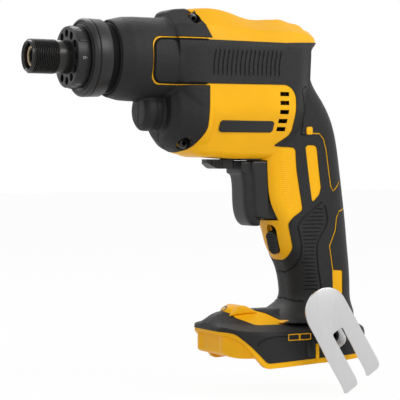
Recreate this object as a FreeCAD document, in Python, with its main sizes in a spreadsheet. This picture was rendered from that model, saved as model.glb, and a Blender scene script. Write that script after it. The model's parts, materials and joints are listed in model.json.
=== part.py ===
import FreeCAD, Part
import Sketcher
import math
import os
from types import SimpleNamespace

V = FreeCAD.Vector
os.makedirs("parts", exist_ok=True)
doc = FreeCAD.newDocument("drywall_screwdriver")

# Driving dimensions in millimetres and degrees. X runs out of the nose along the spindle axis, Y to the
# operator's left and Z up. The origin is the centre of the nose sleeve's front face.
SIZES = {
    "nose_radius": 9.5,
    "nose_bore": 7.2,
    "thread_length": 15.6,
    "neck_radius": 9.2,
    "nose_reach": 23.5,
    "nose_flange_radius": 14.6,
    "nose_flange_thick": 4.0,
    "dial_radius": 17.0,
    "dial_depth": 7.5,
    "dial_hub_radius": 14.2,
    "dial_hub_depth": 4.6,
    "dial_hole_radius": 2.3,
    "dial_hole_circle": 13.1,
    "dial_hole_depth": 3.5,
    "dial_holes": 12,
    "collar_radius": 21.9,
    "collar_length": 14.7,
    "collar_bore": 15.0,
    "seal_radius": 20.6,
    "seal_thick": 1.5,
    "case_radius": 18.0,
    "case_length": 34.0,
    "case_boss_radius": 7.7,
    "spindle_radius": 6.6,
    "spindle_shaft_radius": 5.0,
    "socket_flats": 6.45,
    "socket_depth": 22.0,
    "clutch_radius": 13.0,
    "clutch_thick": 4.0,
    "gear_module": 1.0,
    "gear_teeth": 39,
    "pinion_teeth": 19,
    "gear_width": 9.0,
    "plate_thick": 5.5,
    "shaft_radius": 2.5,
    "rotor_radius": 11.5,
    "rotor_length": 30.0,
    "stator_radius": 22.0,
    "stator_length": 34.0,
    "stator_slots": 6,
    "fan_radius": 19.5,
    "fan_blades": 11,
    "belly_depth": 27.0,
    "skin_depth": 1.3,
    "skin_proud": 0.4,
    "shell_wall": 3.2,
    "stripe_width": 0.9,
    "trigger_width": 24.0,
    "trigger_travel": 6.0,
    "plunger_radius": 3.0,
    "switch_width": 19.0,
    "lock_travel": 4.0,
    "hook_width": 28.0,
    "hook_thick": 1.6,
    "hook_gap": 8.0,
    "hook_lean": 32.0,
    "screw_radius": 1.6,
    "insert_bore": 1.65,
    "foot_half": 34.0,
    "foot_tilt": 2.8,
    "fit": 0.05,
    "gap": 0.3,
}
sheet = doc.addObject("Spreadsheet::Sheet", "sizes")
for row, (alias, value) in enumerate(SIZES.items(), start=1):
    sheet.set(f"A{row}", alias)
    sheet.set(f"B{row}", str(value))
    sheet.setAlias(f"B{row}", alias)
doc.recompute()
d = SimpleNamespace(**{alias: float(sheet.get(alias)) for alias in SIZES})

# Places worked out from the driving dimensions. Body forms are drawn from the front of the casing, at base,
# and the handle and foot hang from the keel, the underside of the motor.
dial_face = -d.nose_reach
dial_back = dial_face - d.dial_depth
collar_front = dial_back - d.gap
collar_back = collar_front - d.collar_length
base = collar_back - d.seal_thick
hub_back = dial_back - d.dial_hub_depth
flange_front = hub_back - d.gap
flange_back = flange_front - d.nose_flange_thick
motor_drop = d.gear_module * (d.gear_teeth + d.pinion_teeth) / 2
keel = -(motor_drop + d.belly_depth)
gear_front = -(d.case_length + 2.5)
gear_back = gear_front - d.gear_width
plate_front = gear_back - 1.5
plate_back = plate_front - d.plate_thick
stator_front = plate_back - 6.0
stator_back = stator_front - d.stator_length
fan_front = stator_back - 4.0
wide = 60

ACROSS = FreeCAD.Rotation(V(1, 1, 1), 120)
SIDE = FreeCAD.Rotation(V(1, 0, 0), 90)
PLAN = FreeCAD.Rotation()
FORWARD = FreeCAD.Rotation(V(0, 1, 0), 90)
LEFT = FreeCAD.Rotation(V(1, 0, 0), -90)


def rounded(corners):
    """Closed outline of lines and tangent arcs through corners given as (x, y, radius)."""
    count = len(corners)
    starts, ends, mids = [], [], []
    for i, (x, y, radius) in enumerate(corners):
        here = V(x, y, 0)
        before = V(corners[i - 1][0], corners[i - 1][1], 0)
        after = V(corners[(i + 1) % count][0], corners[(i + 1) % count][1], 0)
        back = (before - here).normalize()
        ahead = (after - here).normalize()
        turn = back.getAngle(ahead)
        reach = radius / math.tan(turn / 2)
        starts.append(here + back * reach)
        ends.append(here + ahead * reach)
        mids.append(here + (back + ahead).normalize() * (radius / math.sin(turn / 2) - radius))
    pieces = []
    for i, corner in enumerate(corners):
        if corner[2] > 0:
            pieces.append(Part.Arc(starts[i], mids[i], ends[i]))
        pieces.append(Part.LineSegment(ends[i], starts[(i + 1) % count]))
    return pieces


def straight(points):
    """Closed outline of straight lines through points given as (x, y)."""
    corners = [V(x, y, 0) for x, y in points]
    return [Part.LineSegment(a, b) for a, b in zip(corners, corners[1:] + corners[:1])]


def mirrored(half):
    return half + [(-y, z, radius) for y, z, radius in reversed(half)]


def sketch(name, pieces, turn, place):
    drawn = doc.addObject("Sketcher::SketchObject", name + "_outline")
    drawn.addGeometry(pieces)
    drawn.Placement = FreeCAD.Placement(place, turn)
    return drawn


def loft(name, sections):
    made = doc.addObject("Part::Loft", name)
    made.Sections = sections
    made.Solid = True
    made.MaxDegree = 3
    return made


def prism(name, pieces, turn, place, along):
    """Outline pushed along a vector from its own plane."""
    made = doc.addObject("Part::Extrusion", name)
    made.Base = sketch(name, pieces, turn, place)
    made.DirMode = "Custom"
    made.Dir = along
    made.LengthFwd = along.Length
    made.Solid = True
    return made


def side_prism(name, pieces, y_from, y_to):
    """Side outline, in casing coordinates, pushed sideways."""
    return prism(name, pieces, SIDE, V(base, y_from, 0), V(0, y_to - y_from, 0))


def turned(name, profile, x=0.0, z=0.0):
    """Ring or shaft turned round an axis along X from points given as (x, radius)."""
    made = doc.addObject("Part::Revolution", name)
    made.Source = sketch(name, straight(profile), SIDE, V(x, 0, z))
    made.Axis = V(1, 0, 0)
    made.Base = V(x, 0, z)
    made.Angle = 360
    made.Solid = True
    return made


def rod(name, radius, place, turn, length):
    """Plain cylinder whose radius is a number or an expression on the sheet."""
    made = doc.addObject("Part::Cylinder", name)
    if isinstance(radius, str):
        made.setExpression("Radius", radius)
    else:
        made.Radius = radius
    made.Height = length
    made.Placement = FreeCAD.Placement(place, turn)
    return made


def block(name, low, high):
    made = doc.addObject("Part::Box", name)
    made.Length, made.Width, made.Height = high.x - low.x, high.y - low.y, high.z - low.z
    made.Placement.Base = low
    return made


def fuse(name, shapes):
    made = doc.addObject("Part::MultiFuse", name)
    made.Shapes = shapes
    return made


def cut(name, solid, tools):
    made = doc.addObject("Part::Cut", name)
    made.Base = solid
    made.Tool = tools[0] if len(tools) == 1 else fuse(name + "_tools", tools)
    return made


def common(name, shapes):
    made = doc.addObject("Part::MultiCommon", name)
    made.Shapes = shapes
    return made


def mirror(name, solid):
    made = doc.addObject("Part::Mirroring", name)
    made.Source = solid
    made.Normal = V(0, 1, 0)
    return made


# Casing form. Every function draws the same form, drawn in by the inset.
def barrel(tag, inset):
    belly_z = -motor_drop
    # x, ridge height and half width, crease, shoulder, belly and keel as half width and height
    stations = [
        (-34.5, 26.3, 7, 17.0, 18.5, 24.2, 8, 23.0, -8, 9, -24),
        (-42.5, 28.6, 8, 18.0, 19.5, 24.4, 9, 24.0, -22, 12, keel + 10),
        (-52.5, 29.5, 9, 19.0, 19.5, 24.6, 9, 26.0, belly_z, 14, keel + 1.4),
        (-67.5, 29.3, 9, 19.0, 19.0, 24.8, 8.5, 26.4, belly_z, 14, keel + 0.5),
        (-76.5, 27.2, 8.5, 19.0, 18.0, 25.0, 8, 26.6, belly_z, 14, keel),
        (-84.5, 25.0, 8, 19.0, 17.5, 25.0, 8, 26.6, belly_z, 14, keel),
        (-98.5, 25.0, 8, 19.0, 17.5, 25.0, 8, 26.6, belly_z, 14, keel),
        (-108.5, 24.6, 7.5, 18.0, 17.5, 24.0, 8, 25.0, belly_z, 13, keel + 2),
        (-116.5, 23.5, 7, 16.5, 17.0, 21.0, 8, 20.0, belly_z, 12, keel + 6),
        (-123.0, 21.5, 6, 14.5, 16.5, 17.0, 8, 14.5, -25, 9, keel + 16),
    ]
    sections = []
    last = len(stations) - 1
    for i, station in enumerate(stations):
        x, top, ridge, crease, crease_z, shoulder, shoulder_z, belly, low_z, keel_y, keel_z = station
        half = [
            (ridge - inset / 2, top - inset, 4),
            (crease - inset, crease_z - inset * 0.6, 2.5),
            (shoulder - inset, shoulder_z, 8),
            (belly - inset, low_z, 14),
            (keel_y - inset / 2, keel_z + inset, 7),
        ]
        end = -inset if i == 0 else inset if i == last else 0
        sections.append(sketch(f"barrel_{tag}_{i}", rounded(mirrored(half)), ACROSS, V(base + x + end, 0, 0)))
    return loft(f"barrel_{tag}", sections)


def tail(tag, inset):
    # x, ridge height and half width, crease, shoulder and underside as half width and height
    stations = [
        (-102.5, 25.0, 8, 18.8, 17.5, 24.6, 8, 20.0, -2),
        (-111.5, 24.4, 7.5, 17.6, 17.3, 22.8, 8, 18.0, -1),
        (-117.5, 22.3, 7, 16.0, 16.8, 19.8, 8.6, 16.0, 0.5),
        (-123.5, 20.4, 6, 13.8, 16.0, 16.6, 9.6, 13.0, 4),
        (-128.0, 19.3, 5, 11.4, 15.4, 13.4, 11.0, 10.0, 8.3),
        (-130.5, 17.6, 4, 8.6, 14.8, 10.0, 12.2, 7.5, 10.2),
    ]
    sections = []
    last = len(stations) - 1
    for i, (x, top, ridge, crease, crease_z, shoulder, shoulder_z, under, under_z) in enumerate(stations):
        shrink = inset * (1 - 0.12 * i)
        half = [
            (ridge - shrink / 2, top - shrink, 1.2),
            (crease - shrink, crease_z - shrink * 0.6, 0.9),
            (shoulder - shrink, shoulder_z, 0.9),
            (under - shrink, under_z + shrink * 0.5, 0.9),
        ]
        end = inset if i == last else 0
        sections.append(sketch(f"tail_{tag}_{i}", rounded(mirrored(half)), ACROSS, V(base + x + end, 0, 0)))
    return loft(f"tail_{tag}", sections)


def handle(tag, inset):
    # height, front x, rear x, half width
    stations = [
        (12, -98.5, -126, 14.5),
        (5, -98.5, -127.6, 15.5),
        (-3, -98.5, -126.9, 16.5),
        (-10, -98.5, -128.5, 17),
        (-17, -98.5, -132.4, 17),
        (-26, -97.5, -138.6, 17),
        (-39, -95.5, -144.2, 17),
        (keel + 5, -93, -146.9, 16.5),
        (keel - 10, -93, -149.2, 16),
        (keel - 28, -96, -151.6, 16),
        (keel - 38, -101.5, -152.8, 16),
        (keel - 48, -105, -153.7, 16.3),
        (keel - 57, -109.3, -154.6, 16.5),
        (keel - 69, -114.5, -155.7, 16.5),
        (keel - 80, -115.8, -156, 16.7),
        (keel - 86, -112.5, -156.4, 19),
        (keel - 91, -105.5, -157.0, 23),
        (keel - 95, -97, -157.6, 27),
    ]
    sections = []
    for i, (z, front, rear, half_width) in enumerate(stations):
        side = half_width - inset
        bend = side * 0.8
        ahead = front - inset
        behind = rear + inset
        corners = [(ahead, side, bend), (behind, side, bend), (behind, -side, bend), (ahead, -side, bend)]
        end = -inset if i == 0 else 0
        sections.append(sketch(f"handle_{tag}_{i}", rounded(corners), PLAN, V(base, 0, z + end)))
    return loft(f"handle_{tag}", sections)


def foot(tag, inset):
    # x, ridge height and half width, slope half width and height, side half width and height
    stations = [
        (-63.0, keel - 95.5, 3, 8, keel - 96.7, d.foot_half - 20, keel - 98),
        (-66.5, keel - 91.5, 3, 11, keel - 95, d.foot_half - 13, keel - 97),
        (-72.5, keel - 89.3, 3, 14, keel - 95.3, d.foot_half - 6, keel - 98.3),
        (-80.5, keel - 88.5, 3.5, 17, keel - 95.6, d.foot_half - 1.7, keel - 99),
        (-92.5, keel - 88.3, 4, 19, keel - 96, d.foot_half, keel - 99.5),
        (-117.5, keel - 88.3, 5, 19, keel - 96, d.foot_half, keel - 99.5),
        (-140.5, keel - 89, 6, 19, keel - 95.5, d.foot_half - 0.5, keel - 99),
        (-149.5, keel - 91, 7, 17, keel - 95.5, d.foot_half - 4, keel - 98.5),
        (-156.0, keel - 94.5, 7, 14, keel - 97.5, d.foot_half - 10, keel - 100.5),
        (-159.5, keel - 98, 6, 11, keel - 100.5, d.foot_half - 16, keel - 103.5),
    ]
    floor = keel - 124
    sections = []
    last = len(stations) - 1
    for i, (x, top, ridge, slope, slope_z, side, side_z) in enumerate(stations):
        half = [
            (ridge - inset / 4, top - inset, 2),
            (slope - inset / 2, slope_z - inset, 6),
            (side - inset, side_z - inset * 0.7, 2.5),
            (side - inset, floor, 1),
        ]
        end = -inset if i == 0 else inset if i == last else 0
        sections.append(sketch(f"foot_{tag}_{i}", rounded(mirrored(half)), ACROSS, V(base + x + end, 0, 0)))
    return loft(f"foot_{tag}", sections)


def nose(tag, inset):
    front = [
        (0, 0), (0, 21.2 - inset), (-7.5, 23.0 - inset), (-14.5, 23.4 - inset),
        (-42.5, 23.4 - inset), (-42.5, 0),
    ]
    return turned(f"nose_{tag}", front, base)


def bearing_boss(tag, inset):
    cap = 20 + inset
    profile = [
        (-cap, 0), (-cap, 8.5 - inset), (-cap - 2, 10.9 - inset), (-cap - 6, 11.2 - inset),
        (-cap - 7.5, 10.4 - inset), (-42.5, 10.4 - inset), (-42.5, 0),
    ]
    return turned(f"boss_{tag}", profile, base, -motor_drop)


def motor_dome(tag, inset):
    profile = [
        (-32.5 - inset, 0), (-32.5 - inset, 16.5 - inset), (-36.5 - inset, 21 - inset), (-42.5, 24 - inset),
        (-48.5, 25.4 - inset), (-54.5, 25.6 - inset), (-54.5, 0),
    ]
    return turned(f"dome_{tag}", profile, base, -motor_drop)


def foot_floor():
    """Everything under the foot's arched rim."""
    arch = [
        (-50, keel - 99.7, 0), (-66, keel - 101, 6), (-72, keel - 104.5, 6), (-77, keel - 111, 6),
        (-84, keel - 119.5, 5), (-170, keel - 115.3, 0), (-170, keel - 140, 0), (-50, keel - 140, 0),
    ]
    return side_prism("foot_floor", rounded(arch), -wide, wide)


floor_space = foot_floor()


def casing(tag, inset):
    forms = [barrel, tail, handle, foot, nose, bearing_boss, motor_dome]
    return cut(f"casing_{tag}", fuse(f"form_{tag}", [form(tag, inset) for form in forms]), [floor_space])


def ribbon(points, width):
    """Outline of a narrow strip that follows a line of points."""
    left, right = [], []
    for i, (x, y) in enumerate(points):
        before = points[max(i - 1, 0)]
        after = points[min(i + 1, len(points) - 1)]
        along = V(after[0] - before[0], after[1] - before[1], 0).normalize()
        across = V(-along.y, along.x, 0) * (width / 2)
        left.append((x + across.x, y + across.y))
        right.append((x - across.x, y - across.y))
    return straight(left + right[::-1])


# Soft skin of the left half: where it lies, seen from the side, and what stays bare.
grip_edge = [
    (-19, 11, 5), (-102.5, 10.5, 0), (-175, 15, 0), (-175, keel - 112, 0), (-85, keel - 116.3, 4),
    (-76, keel - 106.6, 6), (-68.5, keel - 99.3, 6), (-50, keel - 97.3, 0), (-50, keel - 75, 0),
    (-90, keel - 66, 0), (-109.5, keel - 66, 7), (-112.5, keel - 52, 6), (-109, keel - 37.5, 4),
    (-112, keel - 34, 3), (-118.3, keel - 30, 3), (-114, keel - 6, 10), (-113, keel + 6.5, 3),
    (-97.3, keel + 7.3, 0.5), (-108.5, keel + 14.5, 6), (-108.5, -13.6, 9), (-19, -14, 5),
]
nose_edge = [
    (20, 45, 0), (-44, 45, 0), (-45.5, 29, 3), (-52.5, 21, 6), (-55.5, 11, 2), (-52.3, -14, 2),
    (-51.8, keel + 16, 10), (-46, keel + 6, 8), (-30, keel - 3, 0), (20, keel - 3, 0),
]
tongue_edge = [
    (-19 + d.stripe_width, 11 + d.stripe_width, 5 + d.stripe_width), (-80, 11 + d.stripe_width, 0),
    (-80, -14 - d.stripe_width, 0), (-19 + d.stripe_width, -14 - d.stripe_width, 5 + d.stripe_width),
]
handle_leaf = [
    (-119.5, keel + 8, 2), (-127.3, keel + 8, 3), (-130.8, keel - 17, 3), (-129.6, keel - 21, 2),
    (-124.7, keel - 26, 1),
]
rear_block = [
    (-138.3, keel - 65.4, 1), (-145.6, keel - 66, 1), (-145.6, keel - 80, 1), (-138.7, keel - 80, 1),
]
upper_stripe = [
    (-120.6, keel + 18), (-120.6, keel + 14.8), (-129, keel + 14.8), (-132, keel + 11.5), (-134, keel + 5),
    (-136.2, keel - 8), (-137.5, keel - 16), (-139.2, keel - 19), (-141.5, keel - 17.2), (-157, keel - 2),
]
lower_stripe = [
    (-160, keel - 27), (-143.8, keel - 31), (-141.6, keel - 35), (-140.7, keel - 42), (-136.5, keel - 51.4),
    (-138.8, keel - 66),
]
foot_leaf = [
    (-74, -1, 0), (-77, 10, 4), (-86, 19.5, 6), (-107.5, 20, 0.5), (-98, 8, 8), (-89, 2.5, 2), (-89, -1, 0),
]


# Nose and drive
def threaded_nose():
    profile = [
        (0, d.nose_bore), (0, d.nose_radius),
        (-d.thread_length, d.nose_radius), (-d.thread_length, d.neck_radius),
        (flange_front, d.neck_radius), (flange_front, d.nose_flange_radius),
        (flange_back, d.nose_flange_radius), (flange_back, d.nose_bore),
    ]
    return turned("threaded_nose", profile)


def ring_pad(body, name, outer, inner, length, offset, reverse=False):
    """Ring of the body, with its two radii and its length bound to the sheet."""
    plane = next(face for face in body.Origin.OriginFeatures if face.Role == "XY_Plane")
    drawn = body.newObject("Sketcher::SketchObject", name + "_outline")
    drawn.AttachmentSupport = [(plane, "")]
    drawn.MapMode = "FlatFace"
    drawn.AttachmentOffset = FreeCAD.Placement(V(0, 0, offset), PLAN)
    for i, radius in enumerate((outer, inner)):
        drawn.addGeometry(Part.Circle(V(0, 0, 0), V(0, 0, 1), i + 1))
        drawn.addConstraint(Sketcher.Constraint("Coincident", i, 3, -1, 1))
        drawn.addConstraint(Sketcher.Constraint("Radius", i, i + 1))
        drawn.setExpression(f"Constraints[{2 * i + 1}]", radius)
    pad = body.newObject("PartDesign::Pad", name)
    pad.Profile = drawn
    pad.Reversed = reverse
    pad.setExpression("Length", length)
    return pad


def setting_dial():
    body = doc.addObject("PartDesign::Body", "setting_dial")
    body.Placement = FreeCAD.Placement(V(dial_face, 0, 0), FORWARD)
    bore = "sizes.neck_radius + sizes.fit * 2"
    ring_pad(body, "dial_disc", "sizes.dial_radius", bore, "sizes.dial_depth", 0, True)
    ring_pad(body, "dial_hub", "sizes.dial_hub_radius", bore, "sizes.dial_hub_depth", -d.dial_depth, True)
    doc.recompute()
    plane = next(face for face in body.Origin.OriginFeatures if face.Role == "XY_Plane")
    mark = body.newObject("Sketcher::SketchObject", "dial_hole_outline")
    mark.AttachmentSupport = [(plane, "")]
    mark.MapMode = "FlatFace"
    mark.addGeometry(Part.Circle(V(d.dial_hole_circle, 0, 0), V(0, 0, 1), d.dial_hole_radius))
    mark.addConstraint(Sketcher.Constraint("PointOnObject", 0, 3, -1))
    mark.addConstraint(Sketcher.Constraint("DistanceX", -1, 1, 0, 3, d.dial_hole_circle))
    mark.addConstraint(Sketcher.Constraint("Radius", 0, d.dial_hole_radius))
    mark.setExpression("Constraints[1]", "sizes.dial_hole_circle")
    mark.setExpression("Constraints[2]", "sizes.dial_hole_radius")
    hole = body.newObject("PartDesign::Pocket", "dial_hole")
    hole.Profile = mark
    hole.setExpression("Length", "sizes.dial_hole_depth")
    doc.recompute()
    axis = next(face for face in body.Origin.OriginFeatures if face.Role == "Z_Axis")
    ring = body.newObject("PartDesign::PolarPattern", "dial_hole_ring")
    ring.Originals = [hole]
    ring.Axis = (axis, [""])
    ring.Angle = 360
    ring.setExpression("Occurrences", "sizes.dial_holes")
    body.Tip = ring
    return body


def clutch_collar():
    rim = d.collar_radius
    profile = [
        (collar_front, d.collar_bore), (collar_front, rim - 1.0), (collar_front - 1.0, rim),
        (collar_front - 7.0, rim), (collar_back + 2.5, rim - 0.7), (collar_back, rim - 1.3),
        (collar_back, d.collar_bore),
    ]
    return turned("clutch_collar", profile)


def collar_seal():
    inner = d.collar_bore
    profile = [(collar_back, inner), (collar_back, d.seal_radius), (base, d.seal_radius), (base, inner)]
    return turned("collar_seal", profile)


bush_front, bush_back, bush_radius = -2.5, -10.5, 11.0
chamber_radius = 15.5
boss_front, seat_front = -23.0, -24.5
pinion_bearing_radius, pinion_bearing_width = 6.5, 4.0
web_half, web_thick = 4.5, 4.0


def gear_case():
    neck = d.collar_bore - d.fit
    end = -d.case_length
    profile = [
        (flange_back - base, d.nose_bore), (flange_back - base, neck), (0, neck), (0, d.case_radius),
        (end, d.case_radius), (end, chamber_radius), (bush_back, chamber_radius), (bush_back, bush_radius),
        (bush_front, bush_radius), (bush_front, d.nose_bore),
    ]
    tube = turned("case_tube", profile, base)
    axis = V(base + end, 0, -motor_drop)
    boss = rod("case_boss", "sizes.case_boss_radius", axis, FORWARD, boss_front - end)
    web = block("case_web", V(base + end, -web_half, -motor_drop),
                V(base + end + web_thick, web_half, -(chamber_radius + 1)))
    seat = rod("case_seat", pinion_bearing_radius + d.fit, axis, FORWARD, seat_front - end)
    return cut("gear_case", fuse("case_solid", [tube, boss, web]), [seat])


def stadium(radius):
    """Outline round the spindle and the motor shaft together."""
    return rounded([
        (radius, radius, radius - 0.1), (radius, -motor_drop - radius, radius - 0.1),
        (-radius, -motor_drop - radius, radius - 0.1), (-radius, radius, radius - 0.1),
    ])


plate_radius = d.gear_module * d.gear_teeth / 2 + 0.8
spindle_bearing_radius = 8.0


def gear_plate():
    drive = V(base + plate_back, 0, 0)
    motor = V(base + plate_back, 0, -motor_drop)
    plate = prism("plate_blank", stadium(plate_radius), ACROSS, drive, V(d.plate_thick, 0, 0))
    seat = rod("plate_seat", spindle_bearing_radius + d.fit, drive, FORWARD, d.plate_thick)
    passage = rod("plate_passage", d.shaft_radius + 2, motor, FORWARD, d.plate_thick)
    return cut("gear_plate", plate, [seat, passage])


clutch_front = bush_back - 2.5
clutch_back = clutch_front - d.clutch_thick
spindle_front = -3.0
ring_radius, ring_depth = 5.6, 3.5


def spindle():
    seat = ring_radius + d.fit
    front = spindle_front - base
    end = plate_back - 0.5
    profile = [
        (front, 0), (front, d.spindle_radius), (clutch_front, d.spindle_radius),
        (clutch_front, d.clutch_radius), (clutch_back, d.clutch_radius),
        (clutch_back, d.spindle_shaft_radius), (end, d.spindle_shaft_radius), (end, 0),
    ]
    solid = turned("spindle_solid", profile, base)
    hexagon = [(d.socket_flats / math.sqrt(3), 60 * i) for i in range(6)]
    corners = [(r * math.cos(math.radians(a)), r * math.sin(math.radians(a))) for r, a in hexagon]
    start = V(spindle_front - d.socket_depth, 0, 0)
    socket = prism("spindle_socket", straight(corners), ACROSS, start, V(d.socket_depth, 0, 0))
    mouth = rod("spindle_mouth", seat, V(spindle_front - ring_depth, 0, 0), FORWARD, ring_depth)
    return cut("spindle", solid, [socket, mouth])


def bit_ring():
    inner = d.socket_flats / math.sqrt(3) + 0.1
    back = spindle_front - ring_depth
    front = spindle_front + 0.6
    profile = [
        (back, inner), (back, ring_radius), (front, ring_radius), (front, inner + 0.6), (front - 0.8, inner),
    ]
    return turned("bit_ring", profile)


def bit_magnet():
    place = V(spindle_front - d.socket_depth, 0, 0)
    return rod("bit_magnet", "sizes.socket_flats / 2 - sizes.fit", place, FORWARD, 4)


def bush():
    profile = [
        (bush_front, d.spindle_radius + d.fit), (bush_front, bush_radius - d.fit),
        (bush_back, bush_radius - d.fit), (bush_back, d.spindle_radius + d.fit),
    ]
    return turned("spindle_bush", profile, base)


def clutch_springs():
    """Cone springs stacked face to face and back to back between clutch flange and gear."""
    count = 6
    sheet_thick = 0.9
    pitch = (clutch_back - gear_front) / count
    rise = pitch - sheet_thick - 0.1
    inner, outer = d.spindle_shaft_radius + d.gap, d.clutch_radius - 1
    cones = []
    for i in range(count):
        near, far = (inner, outer) if i % 2 == 0 else (outer, inner)
        front = clutch_back - 0.05 - i * pitch
        profile = [
            (front, near), (front - rise, far),
            (front - rise - sheet_thick, far), (front - sheet_thick, near),
        ]
        cones.append(turned(f"cone_{i}", profile, base))
    return fuse("clutch_springs", cones)


def tooth_outline(teeth, first_angle):
    """Spur gear outline: involute flanks as arcs through root, pitch and tip."""
    pressure = math.radians(20)
    backlash = 0.12 * d.gear_module
    pitch_radius = d.gear_module * teeth / 2
    base_radius = pitch_radius * math.cos(pressure)
    root, tip = pitch_radius - 1.2 * d.gear_module, pitch_radius + 0.92 * d.gear_module

    def half_angle(radius):
        at_pitch = (math.pi * d.gear_module / 2 - backlash) / (2 * pitch_radius)
        roll = math.acos(min(base_radius / radius, 1))
        return at_pitch + math.tan(pressure) - pressure - (math.tan(roll) - roll)

    def at(radius, angle):
        return V(radius * math.cos(angle), radius * math.sin(angle), 0)

    step = 2 * math.pi / teeth
    pieces = []
    for i in range(teeth):
        middle = first_angle + i * step
        rise = [at(r, middle - half_angle(r)) for r in (root, pitch_radius, tip)]
        fall = [at(r, middle + half_angle(r)) for r in (tip, pitch_radius, root)]
        after = at(root, middle + step - half_angle(root))
        pieces += [
            Part.Arc(*rise), Part.LineSegment(rise[2], fall[0]),
            Part.Arc(*fall), Part.LineSegment(fall[2], after),
        ]
    return pieces


def spur_gear(name, teeth, first_angle, z, bore):
    start = V(base + gear_back, 0, z)
    along = V(d.gear_width, 0, 0)
    solid = prism(name + "_teeth", tooth_outline(int(teeth), first_angle), ACROSS, start, along)
    return cut(name, solid, [rod(name + "_bore", bore, start, FORWARD, d.gear_width)])


def spindle_gear():
    return spur_gear("spindle_gear", d.gear_teeth, -math.pi / 2, 0, d.spindle_shaft_radius + d.fit / 2)


def motor_pinion():
    first_angle = math.pi / 2 + math.pi / d.pinion_teeth
    return spur_gear("motor_pinion", d.pinion_teeth, first_angle, -motor_drop, d.shaft_radius + d.fit / 2)


def bearing(name, x_front, x_back, inner, outer, z):
    """Ball bearing as one ring with shallow grooves between its races."""
    third = (outer - inner) / 3
    dip = 0.5
    profile = [
        (x_front, inner), (x_front, inner + third), (x_front - dip, inner + third),
        (x_front - dip, outer - third), (x_front, outer - third), (x_front, outer),
        (x_back, outer), (x_back, outer - third), (x_back + dip, outer - third),
        (x_back + dip, inner + third), (x_back, inner + third), (x_back, inner),
    ]
    return turned(name, profile, base, z)


# Motor
wall_front = fan_front - 7.0
wall_back = wall_front - 6.0
motor_bearing_radius = 6.5


def motor_turned(name, profile):
    return turned(name, profile, base, -motor_drop)


def rotor_shaft():
    place = V(base + wall_back + 0.7, 0, -motor_drop)
    return rod("rotor_shaft", "sizes.shaft_radius", place, FORWARD, seat_front - 0.5 - wall_back - 0.7)


def rotor_core():
    middle = (stator_front + stator_back) / 2
    front, back = middle + d.rotor_length / 2, middle - d.rotor_length / 2
    inner = d.shaft_radius + d.fit / 2
    profile = [(front, inner), (front, d.rotor_radius), (back, d.rotor_radius), (back, inner)]
    return motor_turned("rotor_core", profile)


slot_width, slot_depth = 8.6, 6.0
slot_floor = d.rotor_radius + 0.6 + slot_depth


def slot_block(name, slot, width, radial_from, radial_to, x_from, x_to):
    """Bar between two radii of the stator, turned to its slot."""
    turn = FreeCAD.Rotation(V(1, 0, 0), 360 / d.stator_slots * slot)
    made = doc.addObject("Part::Box", name)
    made.Length, made.Width, made.Height = x_from - x_to, width, radial_to - radial_from
    corner = turn.multVec(V(0, -width / 2, radial_from)) + V(base + x_to, 0, -motor_drop)
    made.Placement = FreeCAD.Placement(corner, turn)
    return made


def motor_stator():
    inner = d.rotor_radius + 0.6
    ring = motor_turned("stator_ring", [
        (stator_front, inner), (stator_front, d.stator_radius),
        (stator_back, d.stator_radius), (stator_back, inner),
    ])
    slots = [
        slot_block(f"stator_slot_{i}", i, slot_width, 0, slot_floor, stator_front + 1, stator_back - 1)
        for i in range(int(d.stator_slots))
    ]
    return cut("motor_stator", ring, slots)


def stator_coils():
    overhang = 2.0
    coils = [
        slot_block(
            f"coil_{i}", i, slot_width - 0.2, d.rotor_radius + 1.2, slot_floor - 0.1,
            stator_front + overhang, stator_back - overhang,
        )
        for i in range(int(d.stator_slots))
    ]
    return fuse("stator_coils", coils)


def motor_board():
    front, back = stator_front + 3.9, stator_front + 2.3
    inner, outer = 7.0, d.stator_radius - 0.3
    return motor_turned("motor_board", [(front, inner), (front, outer), (back, outer), (back, inner)])


def motor_fan():
    inner = d.shaft_radius + d.fit / 2
    back = fan_front - 1.6
    disc = motor_turned("fan_disc", [
        (fan_front + 0.9, inner), (fan_front + 0.9, 7), (fan_front, 7), (fan_front, d.fan_radius),
        (back, d.fan_radius), (back, 7), (back - 4.4, 7), (back - 4.4, inner),
    ])
    blades = []
    for i in range(int(d.fan_blades)):
        turn = FreeCAD.Rotation(V(1, 0, 0), 360 / d.fan_blades * i)
        blade = doc.addObject("Part::Box", f"fan_blade_{i}")
        blade.Length, blade.Width, blade.Height = 4.0, 1.2, d.fan_radius - 7.5
        corner = turn.multVec(V(0, 2, 6.5)) + V(base + back - 4.0, 0, -motor_drop)
        blade.Placement = FreeCAD.Placement(corner, turn)
        blades.append(blade)
    return fuse("motor_fan", [disc] + blades)


# Controls and electrics
skirt_half = d.trigger_width / 2
trigger_back = -98.0
switch_front = trigger_back - d.trigger_travel - 1.0
switch_back = switch_front - 22.0
plunger_z = keel - 20.0
switch_low, switch_high = keel - 35.5, keel - 5.0


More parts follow.
